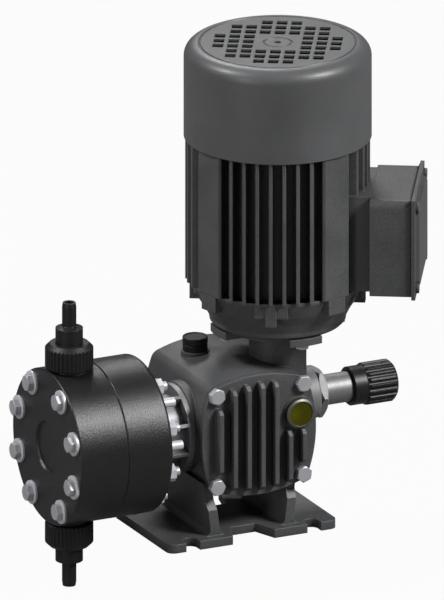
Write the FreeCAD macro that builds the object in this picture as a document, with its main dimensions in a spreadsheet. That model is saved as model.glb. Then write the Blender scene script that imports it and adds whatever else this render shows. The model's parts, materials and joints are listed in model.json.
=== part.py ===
import FreeCAD, Part
import math
import os
import re
import Sketcher

# A motor-driven diaphragm metering pump.
# Frame: X from the dosing head (-X) to the stroke knob (+X), Y away from the gear cover, Z up.
# The origin is the middle of the four foot slots, on the underside of the foot.
# Driving dimensions: millimetres and degrees, and plain counts.
SIZES = {
    # places of the main axes
    "axis_height": 72, "drive_x": 6.2, "adjust_y": 24, "motor_turn": -30,
    # heights on the motor and the upper end of the worm count from this far below the drive axis
    "motor_datum": 72,
    # foot of the gear casing
    "base_length": 123, "base_width": 86, "base_thick": 6, "base_corner": 5.5,
    "slot_pitch_x": 88.4, "slot_pitch_y": 76, "slot_width": 10,
    "toe_gap": 31.2, "toe_gap_inner": 18, "toe_gap_front": 17, "toe_gap_back": 25,
    "leg_thick": 6.6, "leg_foot_left": -25.3, "leg_foot_right": 29, "leg_top_left": -29.5,
    "leg_top_right": 32.6, "leg_rise": 36, "leg_flare": 4, "leg_front": 37, "leg_back": 33,
    # gear casing
    "case_half": 41.6, "case_bow": 91, "case_corner": 8, "case_front": 33, "case_back": 55,
    "cavity_half": 35, "cavity_flat": 19, "cavity_back": 43, "case_edge": 5,
    "worm_boss_r": 12.5, "worm_boss_drop": 36, "neck_r": 19, "neck_low": 98, "flange_r": 45,
    "flange_low": 131, "flange_high": 136, "flange_hub_r": 33,
    "flange_lug_half": 11.6, "flange_bolt_r": 37.5, "flange_screw_r": 2.5, "flange_across": 8,
    "flange_head": 3.5, "flange_grip": 6, "lantern_pad_r": 30.5, "lantern_face": 36.2,
    "adjust_pad_r": 18, "adjust_face": 51, "spot_r": 9.5, "spot_rise": 1.6,
    # cover, gasket and screws
    "gasket_thick": 1, "cover_thick": 4, "rib_pitch": 10.1, "rib_thick": 2.8, "rib_depth": 7,
    "rib_chamfer": 2.6,
    "rib_margin": 4.6, "rib_end_half": 22.5, "rib_low_top": 0.8, "cover_screw_half": 31.6,
    "hub_r": 15, "hub_depth": 9, "sight_x": 28.6, "sight_z": 11.5, "sight_r": 10.2,
    "sight_bore_r": 7, "lens_r": 8.2, "sight_depth": 4, "lens_thick": 2.6,
    # filler and drain plugs
    "filler_x": -9.8, "filler_y": 26, "filler_r": 8.5, "filler_collar_r": 7.6, "filler_high": 9.5,
    "plug_stem_r": 6, "plug_stem": 8, "drain_y": 20, "drain_across": 13, "drain_head": 5,
    # screws
    "screw_r": 3, "screw_across": 10, "screw_head": 4, "screw_grip": 12, "screw_hole_r": 3.3,
    "thread_gap": 0.05,
    # worm and wheel
    "wheel_teeth": 40, "gear_module": 1.3, "worm_r": 5.79, "backlash": 0.36, "wheel_width": 10,
    "tooth_slope": 20, "tooth_top_gap": 0.35, "worm_turns": 7, "worm_journal_r": 4,
    "worm_drop": 32, "worm_bearing": 8, "worm_bearing_r": 8, "hollow_r": 8, "hollow_low": 98,
    "hollow_high": 124, "socket_low": 111, "upper_bearing_low": 99, "upper_bearing": 9,
    "upper_bearing_r": 13, "seal_low": 110, "seal_thick": 6, "bore_clear_r": 8.5,
    # eccentric shaft and yoke
    "shaft_r": 7, "throw": 2, "ecc_r": 12, "ecc_ring_r": 17, "ecc_width": 6, "ecc_side": 9,
    "shaft_front": 31, "shaft_back": 50, "shaft_bearing": 7, "shaft_bearing_r": 11,
    "fit": 0.05, "run_gap": 0.3, "stroke": 4, "yoke_half": 22, "yoke_wall": 5.6,
    "bar_thick": 5, "bar_half": 6, "lug_reach": 31, "lug_half": 7, "lug_thick": 5.4,
    # rod, spring and lantern
    "rod_r": 5, "lantern_r": 22.6, "lantern_bore_r": 18, "lantern_web": 9, "lantern_back": 62.9,
    "lantern_flange_r": 37.8, "lantern_flange": 4, "lantern_ring_r": 29.5, "lantern_ring": 4,
    "lantern_rib_r": 29.8, "lantern_rib": 2.4, "bush_r": 8, "collar_x": 38, "collar_r": 15,
    "collar_thick": 3, "spring_r": 12, "spring_wire": 1.2, "spring_turns": 4,
    "lantern_screw_r": 34, "lantern_screw_first": 40, "lantern_screw_step": 50,
    "cap_head_r": 3.2, "cap_head": 10.5, "cap_stem_r": 2.5, "cap_grip": 8,
    # dosing head
    "head_r": 52.8, "head_front": 130.4, "head_seam": 95.4, "head_edge": 3, "front_edge": 1.2,
    "seam_edge": 0.6, "recess_r": 17.5, "recess": 1.6, "dish_r": 34, "dish_floor_r": 16,
    "dish": 6, "diaphragm_r": 40.5,
    "diaphragm_thick": 2.4, "cavity_r": 33, "cavity_deep": 11, "core_r": 14, "core_thick": 4,
    "bolt_ring_r": 44.1, "bolt_first": 30, "bolt_step": 40, "washer_r": 8, "washer_thick": 1.6,
    "nut_high": 5, "bolt_end": 8.6, "seal_r": 8, "seal_wide": 6,
    # valves
    "valve_x": 114.3, "valve_bore_r": 9, "valve_in": 30, "valve_out": 60, "spigot_r": 12.5,
    "port_r": 2.6, "port_z": 27, "seat_thick": 4, "seat_hole_r": 3.2, "ball_r": 4.5,
    "ball_rise": 3.2, "ball_lift": 2.5, "pocket_r": 5.1, "pocket_deep": 9, "stop_r": 3.4,
    "flow_r": 1.1, "nut_r": 16, "nut_in": 53.6, "nut_out": 70.5, "nut_lip": 6,
    "nut_flutes": 36, "nut_flute_r": 0.9,
    "seal_ring": 1.2, "tail_flange": 3, "tail_flange_r": 11.5, "tail_collar_r": 9.1,
    "tail_collar_out": 81, "tail_out": 98.5, "tail_r": 4.75, "tail_tip_r": 4.3, "tail_bore_r": 3,
    # stroke adjuster
    "collar_end": 73.7, "adjust_hex_r": 15.5, "adjust_hex_end": 79.8, "sleeve_r": 10.2,
    "sleeve_end": 107, "spindle_r": 5.9, "spindle_end": 126, "pad_r": 8, "pad_thick": 1.8,
    "pad_stem_r": 2.5, "pad_stem": 9, "knob_in": 100.3, "knob_out": 132.1, "knob_neck_r": 13,
    "knob_r": 14.15, "knob_bore_r": 10.8, "knob_floor": 113, "knob_flutes": 20, "flute_r": 1.5,
    "knob_grip_in": 110,
    # motor
    "shield_r": 58, "shield_low_r": 45, "frame_low": 166, "frame_high": 264.8, "frame_core_r": 52,
    "frame_bore_r": 47, "fin_reach": 61, "fin_pitch": 8.87, "fin_thick": 2.2, "fins": 7,
    "corner_in": 35.5, "corner_out": 49.6, "cowl_r": 62, "cowl_high": 329, "cowl_wall": 1.6,
    "cowl_shoulder": 9.2, "grille_pitch": 9.7, "grille_hole": 7, "cowl_ring_r": 52.4,
    "eye_ring_r": 10, "eye_hole_r": 2.4,
    "groove": 0.8,
    "shield_wall": 5, "brow_half": 11, "brow_drop": 10.5, "nib_half": 3.6, "nib_drop": 16,
    "ear_drop": 11, "motor_bearing": 10, "motor_bearing_r": 16, "motor_shaft_r": 5.5,
    "rotor_shaft_r": 9, "rotor_r": 28, "stator_bore_r": 28.5, "stack_low": 186, "stack_high": 244,
    "winding_high": 13, "winding_r": 43, "winding_in_r": 31, "shaft_low": 113, "fan_low": 280,
    "fan_high": 306, "fan_r": 48, "fan_hub_r": 12, "fan_blades": 8, "blade_thick": 2,
    "rear_low": 258, "rear_thick": 10, "tie_ring_r": 55.5, "tie_angle": 23.5, "tie_r": 2.5, "tie_head_r": 2.9,
    "tie_head_drop": 5,
    # terminal box
    "box_in": 63.6, "box_out": 90.5, "box_half": 39, "box_low": 167, "box_high": 233, "box_round": 5,
    "box_wall": 3, "box_boss_half": 30, "box_boss_low": 167, "box_boss_high": 233,
    "lid_half": 41, "lid_low": 165.4, "lid_high": 234.6, "lid_thick": 2.6, "lid_rise": 2.5,
    "lid_inset": 6, "lid_taper": 45, "box_gasket": 0.8, "gland_z": 200, "gland_x": 77, "gland_r": 9,
    "gland_bore_r": 5, "gland_out": 14, "gland_across": 22, "lid_screw_r": 2, "lid_screw_in": 5,
}

doc = FreeCAD.newDocument("diaphragm_metering_pump")
dims = doc.addObject("Spreadsheet::Sheet", "dims")
for row, (alias, size) in enumerate(SIZES.items(), 1):
    dims.set(f"A{row}", alias)
    dims.set(f"B{row}", str(size))
    dims.setAlias(f"B{row}", alias)
doc.recompute()

V = FreeCAD.Vector
# Which way each origin plane's normal points along its world axis
NORMALS = {"XY_Plane": 1, "XZ_Plane": -1, "YZ_Plane": 1}
pieces = []


def link(text):
    """The expression with each size read from the sheet."""
    return re.sub(r"[a-z_]+", lambda w: f"dims.{w[0]}" if w[0] in SIZES else w[0], str(text))


def value(text):
    """The present number of an expression."""
    return float(dims.evalExpression(link(text)))


def origin_part(body, role):
    """The body's own origin plane or axis with that role."""
    return next(f for f in body.Origin.OriginFeatures if f.Role == role)


def new_body(label, x=0, y=0, z=0, turn=None):
    """An empty body for one node, at a place worked out from the sheet; turn is an angle about Z."""
    body = doc.addObject("PartDesign::Body", label)
    body.Label = label
    if turn is not None:
        body.Placement = FreeCAD.Placement(V(0, 0, 0), FreeCAD.Rotation(V(0, 0, 1), value(turn)))
        body.setExpression("Placement.Rotation.Angle", link(turn))
    for letter, place in zip("xyz", (x, y, z)):
        if place != 0:
            body.setExpression(f"Placement.Base.{letter}", link(place))
    pieces.append(body)
    return body


def circle(x, y, radius):
    """A round outline for a sketch."""
    return {"centre": (x, y), "radius": radius}


def rectangle(x0, y0, x1, y1):
    """A rectangular outline between two opposite corners."""
    return [(x0, y0), (x1, y0), (x1, y1), (x0, y1)]


def hexagon(x, y, across, turn=0):
    """A hexagonal outline, given its size across flats."""
    reach = f"({across})/(2*cos(30))"
    return [(f"{x}+{reach}*cos({60 * k + turn})", f"{y}+{reach}*sin({60 * k + turn})") for k in range(6)]


def edge_between(start, end, bulge):
    """A straight edge, or an arc of that radius: positive turns left, negative turns right."""
    a, b = V(*start, 0), V(*end, 0)
    if bulge is None:
        return Part.LineSegment(a, b), 1, 2
    radius = abs(bulge)
    half = (b - a).Length / 2
    side = V(-(b - a).y, (b - a).x, 0).normalize() * math.copysign(1, bulge)
    centre = (a + b) / 2 + side * math.sqrt(max(radius**2 - half**2, 0))
    first, last = (a, b) if bulge > 0 else (b, a)
    angles = [math.atan2(p.y - centre.y, p.x - centre.x) for p in (first, last)]
    arc = Part.ArcOfCircle(Part.Circle(centre, V(0, 0, 1), radius), *angles)
    return (arc, 1, 2) if bulge > 0 else (arc, 2, 1)


def tie(sketch, kind, *where, text):
    """A dimension of the sketch that follows the sheet."""
    index = sketch.addConstraint(Sketcher.Constraint(kind, *where, value(text)))
    if re.search("[a-z]", str(text)):
        sketch.setExpression(f"Constraints[{index}]", link(text))


def draw(sketch, outline):
    """One closed outline: a circle, or corners (x, y) with an optional arc radius for the edge that follows."""
    if isinstance(outline, dict):
        centre = [value(c) for c in outline["centre"]]
        index = sketch.addGeometry(Part.Circle(V(*centre, 0), V(0, 0, 1), value(outline["radius"])))
        tie(sketch, "DistanceX", -1, 1, index, 3, text=outline["centre"][0])
        tie(sketch, "DistanceY", -1, 1, index, 3, text=outline["centre"][1])
        tie(sketch, "Radius", index, text=outline["radius"])
        return
    spots = [(value(corner[0]), value(corner[1])) for corner in outline]
    made = []
    for k, corner in enumerate(outline):
        bulge = corner[2] if len(corner) > 2 else None
        edge, head, tail = edge_between(
            spots[k], spots[(k + 1) % len(spots)], None if bulge is None else value(bulge)
        )
        made.append((sketch.addGeometry(edge), head, tail))
    for k, (index, head, tail) in enumerate(made):
        following = made[(k + 1) % len(made)]
        sketch.addConstraint(Sketcher.Constraint("Coincident", index, tail, following[0], following[1]))
        tie(sketch, "DistanceX", -1, 1, index, head, text=outline[k][0])
        tie(sketch, "DistanceY", -1, 1, index, head, text=outline[k][1])
        if len(outline[k]) > 2:
            tie(sketch, "Radius", index, text=f"abs({outline[k][2]})")


def new_sketch(body, name, plane, at, outlines):
    """A sketch parallel to one of the body's origin planes, at that place along the plane's axis."""
    sketch = body.newObject("Sketcher::SketchObject", name)
    sketch.AttachmentSupport = [(origin_part(body, plane), "")]
    sketch.MapMode = "FlatFace"
    if at != 0:
        sketch.setExpression("AttachmentOffset.Base.z", link(f"{NORMALS[plane]}*({at})"))
    for outline in outlines:
        draw(sketch, outline)
    return sketch


def pad(body, name, plane, at, length, *outlines, taper=None):
    """Material from the sketch plane towards the plane's positive axis."""
    feature = body.newObject("PartDesign::Pad", name)
    feature.Profile = new_sketch(body, name + "_outline", plane, at, outlines)
    feature.Reversed = NORMALS[plane] < 0
    feature.setExpression("Length", link(length))
    if taper is not None:
        feature.setExpression("TaperAngle", link(taper))
    body.Tip = feature
    return feature


def cut(body, name, plane, at, length, *outlines):
    """A pocket from the sketch plane towards the plane's positive axis."""
    feature = body.newObject("PartDesign::Pocket", name)
    feature.Profile = new_sketch(body, name + "_outline", plane, at, outlines)
    feature.Reversed = NORMALS[plane] > 0
    feature.setExpression("Length", link(length))
    body.Tip = feature
    return feature


def spin(body, name, axis, *outlines, cutting=False):
    """Material or a groove turned about the body's own axis.

    Corners are (place along the axis, radius) about X or Y, and (radius, height) about Z."""
    plane = "YZ_Plane" if axis == "Y" else "XZ_Plane"
    kind = "PartDesign::Groove" if cutting else "PartDesign::Revolution"
    feature = body.newObject(kind, name)
    feature.Profile = new_sketch(body, name + "_outline", plane, 0, outlines)
    feature.ReferenceAxis = (feature.Profile[0], ["V_Axis" if axis == "Z" else "H_Axis"])
    feature.Angle = 360
    body.Tip = feature
    return feature


def around(body, name, axis, count, *features):
    """Features repeated evenly about one of the body's axes."""
    pattern = body.newObject("PartDesign::PolarPattern", name)
    pattern.Originals = list(features)
    pattern.Axis = (origin_part(body, f"{axis}_Axis"), [""])
    pattern.Angle = 360
    pattern.setExpression("Occurrences", link(count))
    body.Tip = pattern
    return pattern


def soften(body, name, kind, size, test):
    """A fillet or chamfer on the edges of the body so far that pass the test."""
    doc.recompute()
    base = body.Tip
    named = [f"Edge{k}" for k, edge in enumerate(base.Shape.Edges, 1) if test(edge)]
    feature = body.newObject(f"PartDesign::{kind}", name)
    feature.Base = (base, named)
    feature.setExpression("Radius" if kind == "Fillet" else "Size", link(size))
    body.Tip = feature
    return feature


def tube(outer, inner, low, high):
    """The section of a ring or tube, as (place along the axis, radius)."""
    return rectangle(low, inner, high, outer)


# The bowed square that the casing, its gasket and its cover share

def bow_at(offset):
    """How far the bowed side lies from the middle, at that offset along it."""
    return f"(case_half-case_bow+sqrt(case_bow^2-({offset})^2))"


def bowed_square():
    """Four shallow arcs joined by tangent corner arcs, about the wheel's axis."""
    depth = "(case_half-case_bow)"
    inner = "(case_bow-case_corner)"
    middle = f"(({depth}+sqrt(2*{inner}^2-{depth}^2))/2)"
    near = f"({middle}*case_bow/{inner})"
    far = f"({depth}+({middle}-{depth})*case_bow/{inner})"
    corners = [(near, far), (far, near)]
    outline = []
    for sx, sy, flip in ((1, 1, 0), (1, -1, 1), (-1, -1, 0), (-1, 1, 1)):
        first, second = corners[::-1] if flip else corners
        for (cx, cy), radius in ((first, "case_corner"), (second, "case_bow")):
            outline.append((f"drive_x+{sx}*{cx}", f"axis_height+{sy}*{cy}", f"-{radius}"))
    return outline


def cavity_octagon(grow="0"):
    """The casing's inner opening, cut across its corners to leave the screw bosses."""
    wide, flat = f"(cavity_half+{grow})", f"(cavity_flat+{grow}/2)"
    turns = ((1, 1, 0), (1, -1, 1), (-1, -1, 0), (-1, 1, 1))
    outline = []
    for sx, sy, flip in turns:
        pair = [(flat, wide), (wide, flat)]
        for cx, cy in pair[::-1] if flip else pair:
            outline.append((f"drive_x+{sx}*{cx}", f"axis_height+{sy}*{cy}"))
    return outline


def cover_corners():
    """Centres of the four cover screws, as places on a plane of constant Y."""
    half = "cover_screw_half"
    return [(f"drive_x+{sx}*{half}", f"axis_height+{sz}*{half}") for sx in (1, -1) for sz in (1, -1)]


COVER_BACK = "(-case_front-gasket_thick)"
COVER_FACE = f"({COVER_BACK}-cover_thick)"
CENTRE_DISTANCE = "(gear_module*wheel_teeth/2+worm_r)"
MOTOR_X = f"(drive_x+{CENTRE_DISTANCE})"
WORM_LOW = "(axis_height-worm_drop)"
MOTOR_BASE = "(axis_height-motor_datum)"


def foot_notch(sx, sy):
    """One open slot of the foot, with a round inner end."""
    x, y, r = f"{sx}*slot_pitch_x/2", f"{sy}*slot_pitch_y/2", "slot_width/2"
    edge = f"{sy}*(base_width/2+1)"
    turn = "" if sy > 0 else "-"
    return [
        (f"{x}-{r}", y, f"{turn}{r}"),
        (x, f"{y}-{sy}*{r}", f"{turn}{r}"),
        (f"{x}+{r}", y),
        (f"{x}+{r}", edge),
        (f"{x}-{r}", edge),
    ]


def lug_cross():
    """Four lugs on the axes of the motor flange, with round ends."""
    half, tip = "flange_lug_half", "sqrt(flange_r^2-flange_lug_half^2)"
    right = [(tip, f"-{half}", "flange_r"), (tip, half), (half, half)]
    top = [(half, tip, "flange_r"), (f"-{half}", tip), (f"-{half}", half)]
    left = [(f"-{tip}", half, "flange_r"), (f"-{tip}", f"-{half}"), (f"-{half}", f"-{half}")]
    bottom = [(f"-{half}", f"-{tip}", "flange_r"), (half, f"-{tip}"), (half, f"-{half}")]
    return [(f"{MOTOR_X}+({x})", y, *arc) for x, y, *arc in right + top + left + bottom]


def flange_bolts():
    """Centres of the four screws between casing and motor, on the casing's own axes."""
    return [(f"{MOTOR_X}+flange_bolt_r", "0"), (f"{MOTOR_X}-flange_bolt_r", "0"),
            (MOTOR_X, "flange_bolt_r"), (MOTOR_X, "-flange_bolt_r")]


def flange_screws():
    """The hexagon screws that hold the motor, set from below."""
    screws = new_body("flange_screws", 0, 0, MOTOR_BASE)
    pad(screws, "stems", "XY_Plane", "flange_low-1", "flange_high-flange_low+1+flange_grip",
        *[circle(x, y, "flange_screw_r") for x, y in flange_bolts()])
    pad(screws, "heads", "XY_Plane", "flange_low-flange_head", "flange_head",
        *[hexagon(x, y, "flange_across") for x, y in flange_bolts()])


def gear_casing():
    """The cast casing with its foot, legs, neck and motor flange."""
    body = new_body("gear_casing")
    ends, sides, corner = "base_length/2", "base_width/2", "base_corner"
    plate = []
    for sx, sy, first in ((1, -1, 1), (1, 1, 0), (-1, 1, 1), (-1, -1, 0)):
        along = (f"{sx}*({ends}-{corner})", f"{sy}*{sides}")
        across = (f"{sx}*{ends}", f"{sy}*({sides}-{corner})")
        start, finish = (along, across) if first else (across, along)
        plate += [(*start, corner), finish]
    pad(body, "foot_plate", "XY_Plane", 0, "base_thick", plate)
    for side, (foot, top) in {
        "left": ("leg_foot_left", "leg_top_left"), "right": ("leg_foot_right", "leg_top_right"),
    }.items():
        half, shoulder, high = "leg_thick/2", "(base_thick+leg_flare)", "(base_thick+leg_rise)"
        leg = [
            (f"{foot}-{half}-leg_flare", "base_thick/2"),
            (f"{foot}+{half}+leg_flare", "base_thick/2"),
            (f"{foot}+{half}+leg_flare", "base_thick", "-leg_flare"),
            (f"{foot}+{half}", shoulder),
            (f"{top}+{half}", high),
            (f"{top}-{half}", high),
            (f"{foot}-{half}", shoulder, "-leg_flare"),
            (f"{foot}-{half}-leg_flare", "base_thick"),
        ]
        pad(body, f"{side}_leg", "XZ_Plane", "-leg_front", "leg_front+leg_back", leg)
    cut(body, "leg_brow", "YZ_Plane", "-base_length/2", "base_length", [
        ("-leg_front-1", "axis_height-case_half-8"), ("-case_front", "axis_height-case_half-1"),
        ("-case_front", "base_thick+leg_rise+1"), ("-leg_front-1", "base_thick+leg_rise+1"),
    ])
    pad(body, "casing_block", "XZ_Plane", "-case_front", "case_front+case_back", bowed_square())
    soften(body, "back_rim", "Fillet", "case_edge",
           lambda e: abs(e.CenterOfMass.y - value("case_back")) < 0.01)
    low, high = "(axis_height-worm_boss_drop)", f"({MOTOR_BASE}+flange_low)"
    pad(body, "worm_boss", "XY_Plane", low, f"{high}-{low}", circle(MOTOR_X, 0, "worm_boss_r"))
    pad(body, "neck", "XY_Plane", f"{MOTOR_BASE}+neck_low", "flange_low-neck_low",
        circle(MOTOR_X, 0, "neck_r"))
    pad(body, "motor_flange", "XY_Plane", high, "flange_high-flange_low", circle(MOTOR_X, 0, "flange_hub_r"))
    pad(body, "flange_lugs", "XY_Plane", high, "flange_high-flange_low", lug_cross())
    pad(body, "lantern_pad", "YZ_Plane", "-lantern_face", "10", circle(0, "axis_height", "lantern_pad_r"))
    pad(body, "adjuster_pad", "YZ_Plane", "adjust_face-12", "12",
        circle("adjust_y", "axis_height", "adjust_pad_r"))
    pad(body, "filler_spot", "XY_Plane", f"axis_height+{bow_at('filler_x-drive_x')}-4", "4+spot_rise",
        circle("filler_x", "filler_y", "spot_r"))
    toe = [
        ("-toe_gap/2", "-base_width/2-1"), ("toe_gap/2", "-base_width/2-1"),
        ("toe_gap_inner/2", "-base_width/2+toe_gap_front"), ("-toe_gap_inner/2", "-base_width/2+toe_gap_front"),
    ]
    heel = [
        ("-toe_gap/2", "base_width/2+1"), ("-toe_gap_inner/2", "base_width/2-toe_gap_back"),
        ("toe_gap_inner/2", "base_width/2-toe_gap_back"), ("toe_gap/2", "base_width/2+1"),
    ]
    cut(body, "foot_recesses", "XY_Plane", -1, "base_thick+2", toe, heel)
    notches = [foot_notch(sx, sy) for sx in (1, -1) for sy in (1, -1)]
    cut(body, "foot_slots", "XY_Plane", -1, "base_thick+2", *notches)
    cut(body, "flange_holes", "XY_Plane", f"{high}-1", "flange_high-flange_low+2",
        *[circle(x, y, "flange_screw_r+0.3") for x, y in flange_bolts()])
    cut(body, "gear_space", "XZ_Plane", "-case_front-1", "case_front+cavity_back+1", cavity_octagon())
    cut(body, "worm_tunnel", "XY_Plane", f"{WORM_LOW}+worm_bearing-1",
        f"{MOTOR_BASE}+upper_bearing_low-{WORM_LOW}-worm_bearing+2", circle(MOTOR_X, 0, "bore_clear_r"))
    cut(body, "shoulder_relief", "XY_Plane", f"{MOTOR_BASE}+hollow_low-2", "upper_bearing_low-hollow_low+2",
        circle(MOTOR_X, 0, "hollow_r+2"))
    cut(body, "lower_bearing_seat", "XY_Plane", f"{WORM_LOW}-0.3", "worm_bearing+0.3",
        circle(MOTOR_X, 0, "worm_bearing_r+fit"))
    cut(body, "upper_bearing_seat", "XY_Plane", f"{MOTOR_BASE}+upper_bearing_low-run_gap",
        "flange_high+1-upper_bearing_low",
        circle(MOTOR_X, 0, "upper_bearing_r+fit"))
    cut(body, "rear_bearing_seat", "XZ_Plane", "cavity_back-1", "shaft_bearing+2",
        circle("drive_x", "axis_height", "shaft_bearing_r+fit"))
    cut(body, "lantern_opening", "YZ_Plane", "-lantern_face-1", "24",
        circle(0, "axis_height", "lantern_bore_r"))
    cut(body, "adjuster_bore", "YZ_Plane", "drive_x+cavity_half-4", "adjust_face-drive_x-cavity_half+5",
        circle("adjust_y", "axis_height", "pad_r+1+fit"))
    cut(body, "screw_holes", "XZ_Plane", "-case_front-1", "screw_grip+2",
        *[circle(x, z, "screw_r+thread_gap") for x, z in cover_corners()])
    cut(body, "filler_hole", "XY_Plane", "axis_height+cavity_half-8", "20",
        circle("filler_x", "filler_y", "plug_stem_r+thread_gap"))
    cut(body, "drain_hole", "XY_Plane", "axis_height-case_half-1", "12",
        circle("drive_x", "drain_y", "plug_stem_r+thread_gap"))
    return body


def casing_cover():
    """The ribbed front cover, with the front bearing hub inside."""
    body = new_body("casing_cover")
    pad(body, "plate", "XZ_Plane", COVER_FACE, "cover_thick", bowed_square())
    ribs = []
    for k in range(-3, 4):
        offset = f"({k}*rib_pitch)"
        reach = f"({bow_at(offset)}-rib_margin)" if abs(k) < 3 else "rib_end_half"
        top = reach if k < 2 else "rib_low_top"
        x = f"drive_x+{offset}"
        ribs.append(rectangle(f"{x}-rib_thick/2", f"axis_height-{reach}",
                              f"{x}+rib_thick/2", f"axis_height+{top}"))
    pad(body, "ribs", "XZ_Plane", f"{COVER_FACE}-rib_depth", "rib_depth+1", *ribs)
    soften(body, "rib_ends", "Chamfer", "rib_chamfer",
           lambda e: abs(e.CenterOfMass.y - value(f"{COVER_FACE}-rib_depth")) < 0.01
           and e.BoundBox.ZLength < 0.01)
    pad(body, "sight_boss", "XZ_Plane", f"{COVER_FACE}-1", "2",
        circle("drive_x+sight_x", "axis_height+sight_z", "sight_r+1"))
    pad(body, "bearing_hub", "XZ_Plane", f"{COVER_BACK}-1", "hub_depth+1",
        circle("drive_x", "axis_height", "hub_r"))
    cut(body, "bearing_seat", "XZ_Plane", f"{COVER_BACK}+hub_depth-shaft_bearing", "shaft_bearing+1",
        circle("drive_x", "axis_height", "shaft_bearing_r+fit"))
    cut(body, "sight_hole", "XZ_Plane", f"{COVER_FACE}-2", "cover_thick+4",
        circle("drive_x+sight_x", "axis_height+sight_z", "lens_r+1+fit"))
    cut(body, "screw_holes", "XZ_Plane", f"{COVER_FACE}-1", "cover_thick+2",
        *[circle(x, z, "screw_hole_r") for x, z in cover_corners()])
    return body


def cover_gasket():
    """The paper gasket between the casing and its cover."""
    body = new_body("cover_gasket")
    pad(body, "sheet_piece", "XZ_Plane", COVER_BACK, "gasket_thick", bowed_square())
    cut(body, "window", "XZ_Plane", f"{COVER_BACK}-1", "gasket_thick+2", cavity_octagon())
    cut(body, "screw_holes", "XZ_Plane", f"{COVER_BACK}-1", "gasket_thick+2",
        *[circle(x, z, "screw_hole_r") for x, z in cover_corners()])
    return body


def cover_screws():
    """Four hexagon screws of the cover."""
    body = new_body("cover_screws")
    pad(body, "heads", "XZ_Plane", f"{COVER_FACE}-screw_head", "screw_head",
        *[hexagon(x, z, "screw_across") for x, z in cover_corners()])
    pad(body, "stems", "XZ_Plane", f"{COVER_FACE}-1", "cover_thick+gasket_thick+screw_grip+1",
        *[circle(x, z, "screw_r") for x, z in cover_corners()])
    return body


def sight_glass():
    """The oil level window: a screwed bezel and its lens, turned about Y."""
    place = ("drive_x+sight_x", COVER_FACE, "axis_height+sight_z")
    bezel = new_body("sight_glass_bezel", *place)
    face = "(-sight_depth-1)"
    spin(bezel, "ring", "Y", [
        (face, "lens_r+0.6"), (f"{face}+0.8", "sight_r"), ("-1", "sight_r"), ("-1", "lens_r+1"),
        ("cover_thick-0.5", "lens_r+1"), ("cover_thick-0.5", "sight_bore_r"),
        (f"{face}+lens_thick+0.5", "sight_bore_r"), (f"{face}+lens_thick+0.5", "lens_r+fit"),
        (face, "lens_r+fit"),
    ])
    lens = new_body("sight_glass_lens", *place)
    spin(lens, "disc", "Y", rectangle(f"{face}+0.5", "0", f"{face}+lens_thick+0.5", "lens_r"))


def plugs():
    """The oil filler cap on top and the hexagon drain plug underneath."""
    top = f"(axis_height+{bow_at('filler_x-drive_x')}+spot_rise)"
    filler = new_body("oil_filler_plug", "filler_x", "filler_y", top)
    spin(filler, "cap", "Z", [
        ("0", "-plug_stem"), ("plug_stem_r", "-plug_stem"), ("plug_stem_r", "0"),
        ("filler_collar_r", "0"), ("filler_collar_r", "filler_high*0.45"),
        ("filler_r", "filler_high*0.5"), ("filler_r", "filler_high-1.2"),
        ("filler_r-1.2", "filler_high"), ("0", "filler_high"),
    ])
    drain = new_body("oil_drain_plug", "drive_x", "drain_y", "axis_height-case_half")
    pad(drain, "head", "XY_Plane", "-drain_head", "drain_head", hexagon("0", "0", "drain_across"))
    pad(drain, "stem", "XY_Plane", "-1", "6", circle(0, 0, "plug_stem_r"))


# Worm drive. The thread's height per turn equals the wheel's circular pitch.

LEAD = "(pi*gear_module)"
TIP = "(gear_module)"
ROOT = "(gear_module+tooth_top_gap)"


def tooth_half(at):
    """Half a tooth's thickness at that height above the pitch line."""
    return f"(({LEAD}-backlash*2)/4-({at})*tan(tooth_slope))"


def worm():
    """The worm with its lower journal, thread and hollow upper end."""
    body = new_body("worm", MOTOR_X, 0, 0)
    thread_low = f"(axis_height-{LEAD}*worm_turns/2)"
    root_r = f"(worm_r-{ROOT})"
    hollow_low, hollow_high = f"{MOTOR_BASE}+hollow_low", f"{MOTOR_BASE}+hollow_high"
    socket_low = f"{MOTOR_BASE}+socket_low"
    spin(body, "shaft", "Z", [
        ("0", WORM_LOW), ("worm_journal_r", WORM_LOW),
        ("worm_journal_r", f"{WORM_LOW}+worm_bearing+0.5"), (root_r, f"{WORM_LOW}+worm_bearing+1"),
        (root_r, f"{hollow_low}-6"), ("worm_r", f"{hollow_low}-5"), ("worm_r", f"{hollow_low}-1"),
        ("hollow_r+1.5", f"{hollow_low}-1"), ("hollow_r+1.5", f"{hollow_low}+0.7"),
        ("hollow_r", f"{hollow_low}+0.7"), ("hollow_r", hollow_high),
        ("motor_shaft_r+fit", hollow_high), ("motor_shaft_r+fit", socket_low), ("0", socket_low),
    ])
    deep = f"({root_r}-0.4)"
    foot = tooth_half(f"-{ROOT}-0.4")
    crest = tooth_half(TIP)
    thread = body.newObject("PartDesign::AdditiveHelix", "thread")
    thread.Profile = new_sketch(body, "thread_outline", "XZ_Plane", 0, [[
        (deep, f"{thread_low}-{foot}"), (f"worm_r+{TIP}", f"{thread_low}-{crest}"),
        (f"worm_r+{TIP}", f"{thread_low}+{crest}"), (deep, f"{thread_low}+{foot}"),
    ]])
    thread.ReferenceAxis = (thread.Profile[0], ["V_Axis"])
    thread.Mode = 1
    thread.setExpression("Pitch", link(LEAD))
    thread.setExpression("Turns", link("worm_turns"))
    thread.Angle = 0
    thread.LeftHanded = False
    thread.Reversed = False
    body.Tip = thread
    return body


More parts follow.
